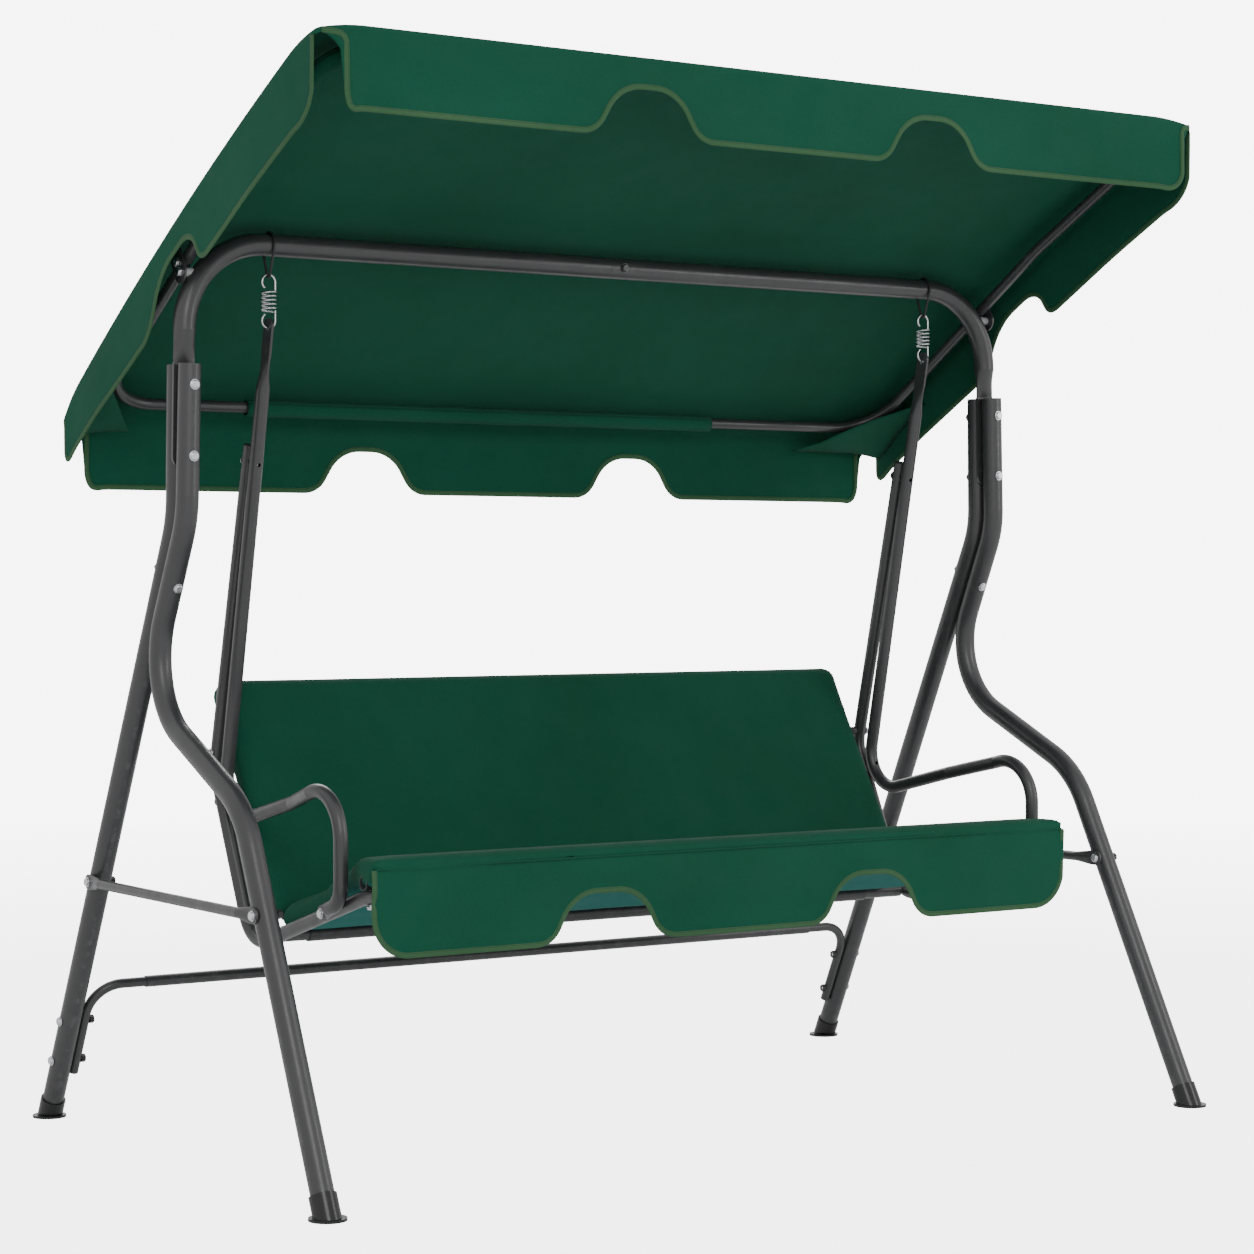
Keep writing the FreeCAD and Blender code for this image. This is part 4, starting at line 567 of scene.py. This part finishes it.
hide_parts("canopy_top", "canopy_valance_front", "canopy_valance_rear",
            "canopy_valance_left", "canopy_valance_right")
skirts = {"front": (front_skirt, (0, -1, 0)), "rear": (rear_skirt, (0, -1, 0)),
          "left": (left_skirt, (-1, 0, 0)), "right": (right_skirt, (-1, 0, 0))}
edges, bindings = [], []
for word, (columns, face) in skirts.items():
    path = edge_path(columns)
    edges.append((path, facing_in(path, face)))
    bindings.append(binding(f"canopy_binding_{word}", *edges[-1], "canopy"))
canopy_stitches = stitches("canopy_stitches", edges, "canopy")
thicken(canopy, CLOTH)

# casings round the front and rear tubes
tube_low, tube_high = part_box("canopy_frame_rear")
TUBE = 0.0095
rear_tube = np.array([tube_high.y - TUBE, tube_low.z + TUBE])
tube_low, tube_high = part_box("canopy_frame_front")
front_tube = np.array([tube_low.y + TUBE, tube_high.z - TUBE])


def run_length(line):
    return sum(math.dist(a, b) for a, b in zip(line, line[1:]))


SLACK = 0.0016
CASING_POINTS = 20


def casing(name, path):
    """Cloth sewn round a canopy tube, open at both ends."""
    path = even_path(np.array(path, float), 0.012)
    along = np.gradient(path, axis=0)
    along /= np.linalg.norm(along, axis=1)[:, None]
    found = []
    for p, a in zip(path, along):
        out = np.cross(a, UPWARD)
        out /= np.linalg.norm(out)
        for k in range(CASING_POINTS + 1):
            turn = math.tau * k / CASING_POINTS
            way = out * math.cos(turn) + UPWARD * math.sin(turn)
            slack = SLACK * (1 - math.sin(turn)) + abs(ripple(*(p + way * 0.02), SLACK, 14.0))
            found.append(p + way * (TUBE + CLOTH + slack))
    item = piece(name, found, grid_faces(len(path), CASING_POINTS + 1), CLOTH_DOWN, "canopy")
    thicken(item, CLOTH)
    run_length(path)
    return item


TUBE_BEND = 0.090
RAIL = tube_high.x - TUBE
bend = [np.array([RAIL - TUBE_BEND + TUBE_BEND * math.sin(a), *front_tube])
        + ALONG * (TUBE_BEND - TUBE_BEND * math.cos(a)) for a in np.linspace(0, math.pi / 2, 12)]
casing("canopy_front_casing", [b * (-1, 1, 1) for b in bend[::-1]] + bend)
REAR_CASING = (-0.53, 0.41)
casing("canopy_rear_casing", [(x, *rear_tube) for x in REAR_CASING])

# cloth pockets at the two rear corners, each a triangle under the bent tube
POCKET_DEEP = 0.165
POCKET_DROP, POCKET_BELLY, POCKET_DIP = 0.038, 0.006, 0.004
POCKET_SIDE_GAP, POCKET_REAR_GAP = 0.004, 0.006
POCKET_POINTS, POCKET_SEAM = 14, 3
for word, sign, wide in (("left", 1, 0.205), ("right", -1, 0.105)):
    found, tris, index = [], [], {}
    for a in range(POCKET_POINTS + 1):
        for b in range(POCKET_POINTS + 1 - a):
            x = HALF - POCKET_SIDE_GAP - wide * a / POCKET_POINTS
            s = LENGTH - POCKET_REAR_GAP - POCKET_DEEP * b / POCKET_POINTS
            point = canopy_point(sign * x, s, True)
            shut = min(a, b, POCKET_SEAM) / POCKET_SEAM
            drop = POCKET_DROP + POCKET_BELLY * min(b, POCKET_SEAM) / POCKET_SEAM
            index[a, b] = len(found)
            found.append(point - UPWARD * drop - np.array([0, 0, POCKET_DIP]) * shut)
    for a in range(POCKET_POINTS):
        for b in range(POCKET_POINTS - a):
            tris.append([index[a, b], index[a + 1, b], index[a, b + 1]])
            if a + b < POCKET_POINTS - 1:
                tris.append([index[a + 1, b], index[a + 1, b + 1], index[a, b + 1]])
    pocket = piece(f"canopy_corner_pocket_{word}", found, tris, CLOTH_DOWN, "canopy")
    thicken(pocket, CLOTH)

# ---------------------------------------------------------------- padded seat and back


FILL_FRAMES = 20


def soft_block(name, rings, material, voxel, pressure, cap):
    """A closed form through rings of points, blown up by at most `cap` like a filled cover."""
    found = [p for ring in rings for p in ring]
    item = piece(name, found, tube_faces(len(rings), len(rings[0])), material, "seat")
    outward(item)
    remesh = item.modifiers.new("remesh", "REMESH")
    remesh.mode = "VOXEL"
    remesh.voxel_size = voxel
    remesh.use_smooth_shade = True
    apply_modifiers(item)
    before = np.array([v.co[:] for v in item.data.vertices])
    cloth = item.modifiers.new("filling", "CLOTH")
    cloth.settings.quality = 4
    cloth.settings.use_pressure = True
    cloth.settings.uniform_pressure_force = pressure
    cloth.settings.effector_weights.gravity = 0.0
    cloth.settings.tension_stiffness = 18
    cloth.settings.compression_stiffness = 18
    cloth.settings.bending_stiffness = 2.0
    cloth.collision_settings.use_self_collision = False
    cloth.point_cache.frame_start = 1
    cloth.point_cache.frame_end = FILL_FRAMES
    scene = bpy.context.scene
    for step in range(1, FILL_FRAMES + 1):
        scene.frame_set(step)
    apply_modifiers(item)
    scene.frame_set(1)
    after = np.array([v.co[:] for v in item.data.vertices])
    move = after - before
    size = np.linalg.norm(move, axis=1)
    scale = np.minimum(1.0, cap / np.maximum(size, 1e-9))
    after = before + move * scale[:, None]
    item.data.vertices.foreach_set("co", after.ravel())
    item.data.update()
    for face in item.data.polygons:
        face.use_smooth = True
    return item


def bar_ring(half, low, high, radius, across=90, bend=6):
    """A wide rounded bar seen from its end: (x, up) points, always the same number."""
    radius = min(radius, (high - low) / 2 - 0.0002)
    ring = []
    flat = half - radius
    for cx, cz, start in ((flat, low + radius, -90), (flat, high - radius, 0),
                          (-flat, high - radius, 90), (-flat, low + radius, 180)):
        for k in range(bend + 1):
            a = math.radians(start + 90 * k / bend)
            ring.append((cx + radius * math.cos(a), cz + radius * math.sin(a)))
        if start in (0, 180):
            side, level = (1, high) if start == 0 else (-1, low)
            for k in range(1, across):
                ring.append((side * flat * (1 - 2 * k / across), level))
    return ring


cushion_low, cushion_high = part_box("seat_cushion")
roll_low, roll_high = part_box("seat_valance")
back_low, back_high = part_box("backrest_cushion")

# seat pad on its slope, between the side rails
SEAT_SLOPE = 0.30
SEAT_HALF = 0.632
RAIL_LEVEL = 0.332
PAD_LIFT, PAD_THICK = 0.013, 0.036
PAD_ROUND = 0.012
pad_front, pad_rear = cushion_low.y + 0.070, cushion_high.y - 0.001


def rail_level(y):
    return RAIL_LEVEL - SEAT_SLOPE * y


def pad_rings():
    rings = []
    for y in np.concatenate([np.linspace(pad_front, pad_rear - PAD_ROUND, 30),
                             pad_rear - PAD_ROUND * (1 - np.sin(np.linspace(0.2, math.pi / 2, 7)))]):
        past = max(0.0, 1 - (pad_rear - y) / PAD_ROUND)
        pinch = PAD_ROUND * (1 - math.sqrt(max(0.0, 1 - past ** 2)))
        low = rail_level(y) + PAD_LIFT + pinch * 0.8
        high = rail_level(y) + PAD_LIFT + PAD_THICK - 0.002 - pinch * 0.8
        rings.append([(x, y, z) for x, z in bar_ring(SEAT_HALF - pinch * 0.3, low, high, PAD_ROUND)])
    return rings


seat_pad = soft_block("seat_pad", pad_rings(), SEAT_CLOTH, 0.006, 3.0, 0.006)

# front roll: overhangs the seam in front, covers the front tube, and narrows back into the pad
seam_level = roll_high.z
top_level = cushion_high.z - 0.0015
nose = cushion_low.y
ROLL_ROUND = 0.014
ROLL_RINGS = [  # distance behind the nose, half width, underside, top
    (-0.0035, 0.664, seam_level + 0.0040, top_level - 0.0065),
    (-0.0020, 0.667, seam_level + 0.0015, top_level - 0.0030),
    (0.0015, 0.668, seam_level + 0.0005, top_level - 0.0012),
    (0.0045, 0.669, roll_high.z - 0.022, top_level - 0.0004),
    (0.0120, 0.669, roll_high.z - 0.0265, top_level),
    (0.0300, 0.668, roll_high.z - 0.0275, top_level),
    (0.0520, 0.665, roll_high.z - 0.0265, top_level - 0.0015),
    (0.0680, 0.661, roll_high.z - 0.0270, top_level - 0.0060),
    (0.0900, 0.655, roll_high.z - 0.0320, top_level - 0.0140),
    (0.1200, 0.648, roll_high.z - 0.0420, top_level - 0.0250),
    (0.1600, 0.640, roll_high.z - 0.0550, top_level - 0.0385),
    (0.2000, 0.633, roll_high.z - 0.0670, top_level - 0.0520)]
seat_roll = soft_block("seat_front_roll", [
    [(x, nose + back, z) for x, z in bar_ring(half, low, high, ROLL_ROUND)]
    for back, half, low, high in ROLL_RINGS], SEAT_CLOTH, 0.0045, 2.0, 0.003)
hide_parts("seat_cushion")
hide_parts("seat_cushion")

# sling of cloth under the pad, carried over the rear tube, coloured with the teal painted backlight
tube_low, tube_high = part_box("seat_rear_tube")
sling_line = [(pad_front + 0.004, rail_level(pad_front) + PAD_LIFT - 0.001),
              (pad_rear, rail_level(pad_rear) + PAD_LIFT - 0.001),
              ((tube_low.y + tube_high.y) / 2 - 0.004, tube_high.z + CLOTH),
              ((tube_low.y + tube_high.y) / 2 + 0.008, tube_high.z + CLOTH / 2 - 0.001)]
sling_line = even_path(np.array([(0, *p) for p in sling_line]), 0.010)[:, 1:]
sling_points = []
SLING_HALF = 0.600
SLING_COLUMNS = 90
for c in range(SLING_COLUMNS + 1):
    x = SLING_HALF * (2 * c / SLING_COLUMNS - 1)
    for k, (y, z) in enumerate(sling_line):
        soft = math.sin(math.pi * k / (len(sling_line) - 1))
        sling_points.append((x, y, z - abs(ripple(x, y, z, 0.003, 6.0)) * soft))
sling = piece("seat_sling", sling_points, grid_faces(SLING_COLUMNS + 1, len(sling_line)), TEAL_BACKLIT,
              "seat")
thicken(sling, CLOTH)
run_length(sling_line)

# back cushion leaning back on its frame
BACK_THICK = 0.040
lean = math.radians(30.8)
foot = np.array([back_low.y, back_low.z + BACK_THICK * math.sin(lean)])
lean_up = np.array([math.sin(lean), math.cos(lean)])
lean_back = np.array([math.cos(lean), -math.sin(lean)])
BACK_TALL = (back_high.z - foot[1]) / math.cos(lean)
BACK_HALF, BACK_ROUND, BACK_EDGE = back_high.x - 0.002, 0.026, 0.012


def back_rings():
    """Rings up the cushion, each a rounded bar across its width; the top corners are round."""
    rings = []
    for level in np.concatenate([BACK_EDGE * (1 - np.cos(np.linspace(0.3, math.pi / 2, 7))),
                                 np.linspace(0.018, BACK_TALL - 0.032, 50),
                                 BACK_TALL - BACK_ROUND * (1 - np.sin(np.linspace(0, 1.5, 14)))]):
        from_top = max(0.0, 1 - (BACK_TALL - level) / BACK_ROUND)
        half = BACK_HALF - BACK_ROUND * (1 - math.sqrt(max(0.0, 1 - from_top ** 2)))
        near = min(level, BACK_TALL - level)
        past = max(0.0, 1 - near / BACK_EDGE)
        pinch = 0.014 * (1 - math.sqrt(max(0.0, 1 - past ** 2)))
        ring = []
        for x, v in bar_ring(half, 0.0015 + pinch, BACK_THICK - 0.0015 - pinch, BACK_EDGE):
            y, z = foot + lean_up * level + lean_back * v
            ring.append((x, y, z))
        rings.append(ring)
    return rings


back_cushion = soft_block("back_cushion", back_rings(), CLOTH_UP, 0.006, 3.0, 0.005)
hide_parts("backrest_cushion")

# seat valance: the cloth that hangs from the roll's seam
VALANCE_Y = (roll_low.y + roll_high.y) / 2
VALANCE_DROP = roll_high.z - roll_low.z
VALANCE_NOTCH_LOW, VALANCE_NOTCH_HIGH, VALANCE_NOTCH_RISE = 0.098, 0.060, 0.076
seat_hem = front_hem(roll_high.x - 0.001, VALANCE_DROP, 0.257, VALANCE_NOTCH_LOW,
                     VALANCE_NOTCH_HIGH, VALANCE_NOTCH_RISE, 0.062)
vx = hem_columns(seat_hem)
v_depth = hem_depth(seat_hem, vx, -0.0005)
points, faces = [], []
columns = []
VALANCE_ROWS = 18
for x, depth in zip(vx, v_depth):
    column = []
    for k in range(VALANCE_ROWS + 1):
        t = k / VALANCE_ROWS
        z = seam_level + depth * t
        sway = ripple(x, 0.4, z, 0.004, 4.5) * t - 0.002 * math.sin(math.pi * min(1, t * 1.4))
        column.append(add((x, VALANCE_Y + sway, z)))
    columns.append(column)
for left, right in zip(columns, columns[1:]):
    for k in range(VALANCE_ROWS):
        faces.append([left[k], left[k + 1], right[k + 1], right[k]])
seat_valance = piece("seat_valance_cloth", points, faces, CLOTH_DOWN, "seat")
valance_path = np.array([points[i] for i in columns[0]] + [points[c[-1]] for c in columns[1:-1]]
                        + [points[i] for i in columns[-1][::-1]])
face = facing_in(valance_path, (0, -1, 0))
seat_binding = binding("seat_valance_binding", valance_path, face, "seat")
seat_stitches = stitches("seat_valance_stitches", [(valance_path, face)], "seat")
thicken(seat_valance, CLOTH)
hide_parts("seat_valance")


SEAM_ROUND, SEAM_POINTS = 0.0016, 8


def piping(name, path):
    """A round corded seam along a path on the seat."""
    found = []
    path = even_path(np.array(path, float), 0.006)
    along = np.gradient(path, axis=0)
    along /= np.linalg.norm(along, axis=1)[:, None]
    for p, a in zip(path, along):
        side = np.cross(a, (0.0, 0.3, 1.0))
        side /= np.linalg.norm(side)
        up = np.cross(side, a)
        for k in range(SEAM_POINTS):
            turn = math.tau * k / SEAM_POINTS
            found.append(p + (side * math.cos(turn) + up * math.sin(turn)) * SEAM_ROUND)
    outward(piece(name, found, tube_faces(len(path), SEAM_POINTS), CLOTH_DOWN, "seat"))


SEAM_END = roll_high.x - 0.006
piping("seat_front_seam", [(x, VALANCE_Y - 0.0006, seam_level + 0.001)
                           for x in (-SEAM_END, SEAM_END)])

# ---------------------------------------------------------------- floor, light, camera


def disc(name, radius, material):
    """A flat round floor, part of the stage and not of the object."""
    count = 96
    found = [(0, 0, 0)] + [(radius * math.cos(math.tau * k / count),
                            radius * math.sin(math.tau * k / count), 0) for k in range(count)]
    mesh = bpy.data.meshes.new(name)
    mesh.from_pydata(found, [], [[0, 1 + k, 1 + (k + 1) % count] for k in range(count)])
    mesh.materials.append(material)
    item = bpy.data.objects.new(name, mesh)
    bpy.context.scene.collection.objects.link(item)


BACKDROP_GLOW = 9.0
floor = Shade("studio_floor", Roughness=0.7, Specular_IOR_Level=0.2)
spot = floor.node("ShaderNodeVectorMath", {0: floor.place}, operation="LENGTH").outputs["Value"]
fade = floor.ramp(spot, 0, 1, 2.4, 6.5)
floor.set("Base Color", floor.colour(floor.noise(1.5), (0.86, 0.86, 0.86), (0.89, 0.89, 0.89)))
clear = floor.node("ShaderNodeBsdfTransparent")
glow = floor.node("ShaderNodeEmission", {"Strength": BACKDROP_GLOW})
direct = floor.node("ShaderNodeLightPath").outputs["Is Camera Ray"]
pale = floor.node("ShaderNodeMixShader", {0: floor.math("MULTIPLY", direct, 0.5),
                                          1: floor.shader.outputs[0], 2: glow.outputs[0]})
blend = floor.node("ShaderNodeMixShader", {0: fade, 1: pale.outputs[0], 2: clear.outputs[0]})
output = next(n for n in floor.tree.nodes if n.type == "OUTPUT_MATERIAL")
floor.tree.links.new(blend.outputs[0], output.inputs["Surface"])
disc("studio_floor", 9.0, floor.material)

world = bpy.data.worlds.new("studio")
bpy.context.scene.world = world
world.use_nodes = True
sky = world.node_tree
plain = sky.nodes["Background"]
plain.inputs["Color"].default_value = (1, 1, 1, 1)
plain.inputs["Strength"].default_value = 1.0
white = sky.nodes.new("ShaderNodeBackground")
white.inputs["Strength"].default_value = BACKDROP_GLOW
seen = sky.nodes.new("ShaderNodeLightPath")
pick = sky.nodes.new("ShaderNodeMixShader")
sky.links.new(seen.outputs["Is Camera Ray"], pick.inputs[0])
sky.links.new(plain.outputs[0], pick.inputs[1])
sky.links.new(white.outputs[0], pick.inputs[2])
sky.links.new(pick.outputs[0], sky.nodes["World Output"].inputs["Surface"])


def softbox(name, place, target, size, power):
    """A rectangular lamp that faces its target."""
    light = bpy.data.lights.new(name, "AREA")
    light.shape = "RECTANGLE"
    light.size, light.size_y = size
    light.energy = power
    item = bpy.data.objects.new(name, light)
    item.location = place
    item.rotation_mode = "QUATERNION"
    item.rotation_quaternion = (Vector(target) - Vector(place)).to_track_quat("-Z", "Y")
    bpy.context.scene.collection.objects.link(item)


softbox("key_left", (-2.4, -4.4, 3.2), (0, 0, 0.8), (2.0, 2.6), 62)
softbox("fill_right", (3.2, -3.6, 2.2), (0, 0, 0.8), (1.2, 2.4), 36)
softbox("back_rim", (1.5, 3.8, 3.0), (0, 0, 0.9), (2.4, 1.4), 45)

camera = bpy.data.cameras.new("camera")
camera.sensor_width = 36.0
camera.lens = 88.47
viewer = bpy.data.objects.new("camera", camera)
viewer.location = (-2.869, -4.238, 0.8886)
viewer.rotation_euler = (math.radians(89.086), 0.0, math.radians(-34.20))
bpy.context.scene.collection.objects.link(viewer)
bpy.context.scene.camera = viewer
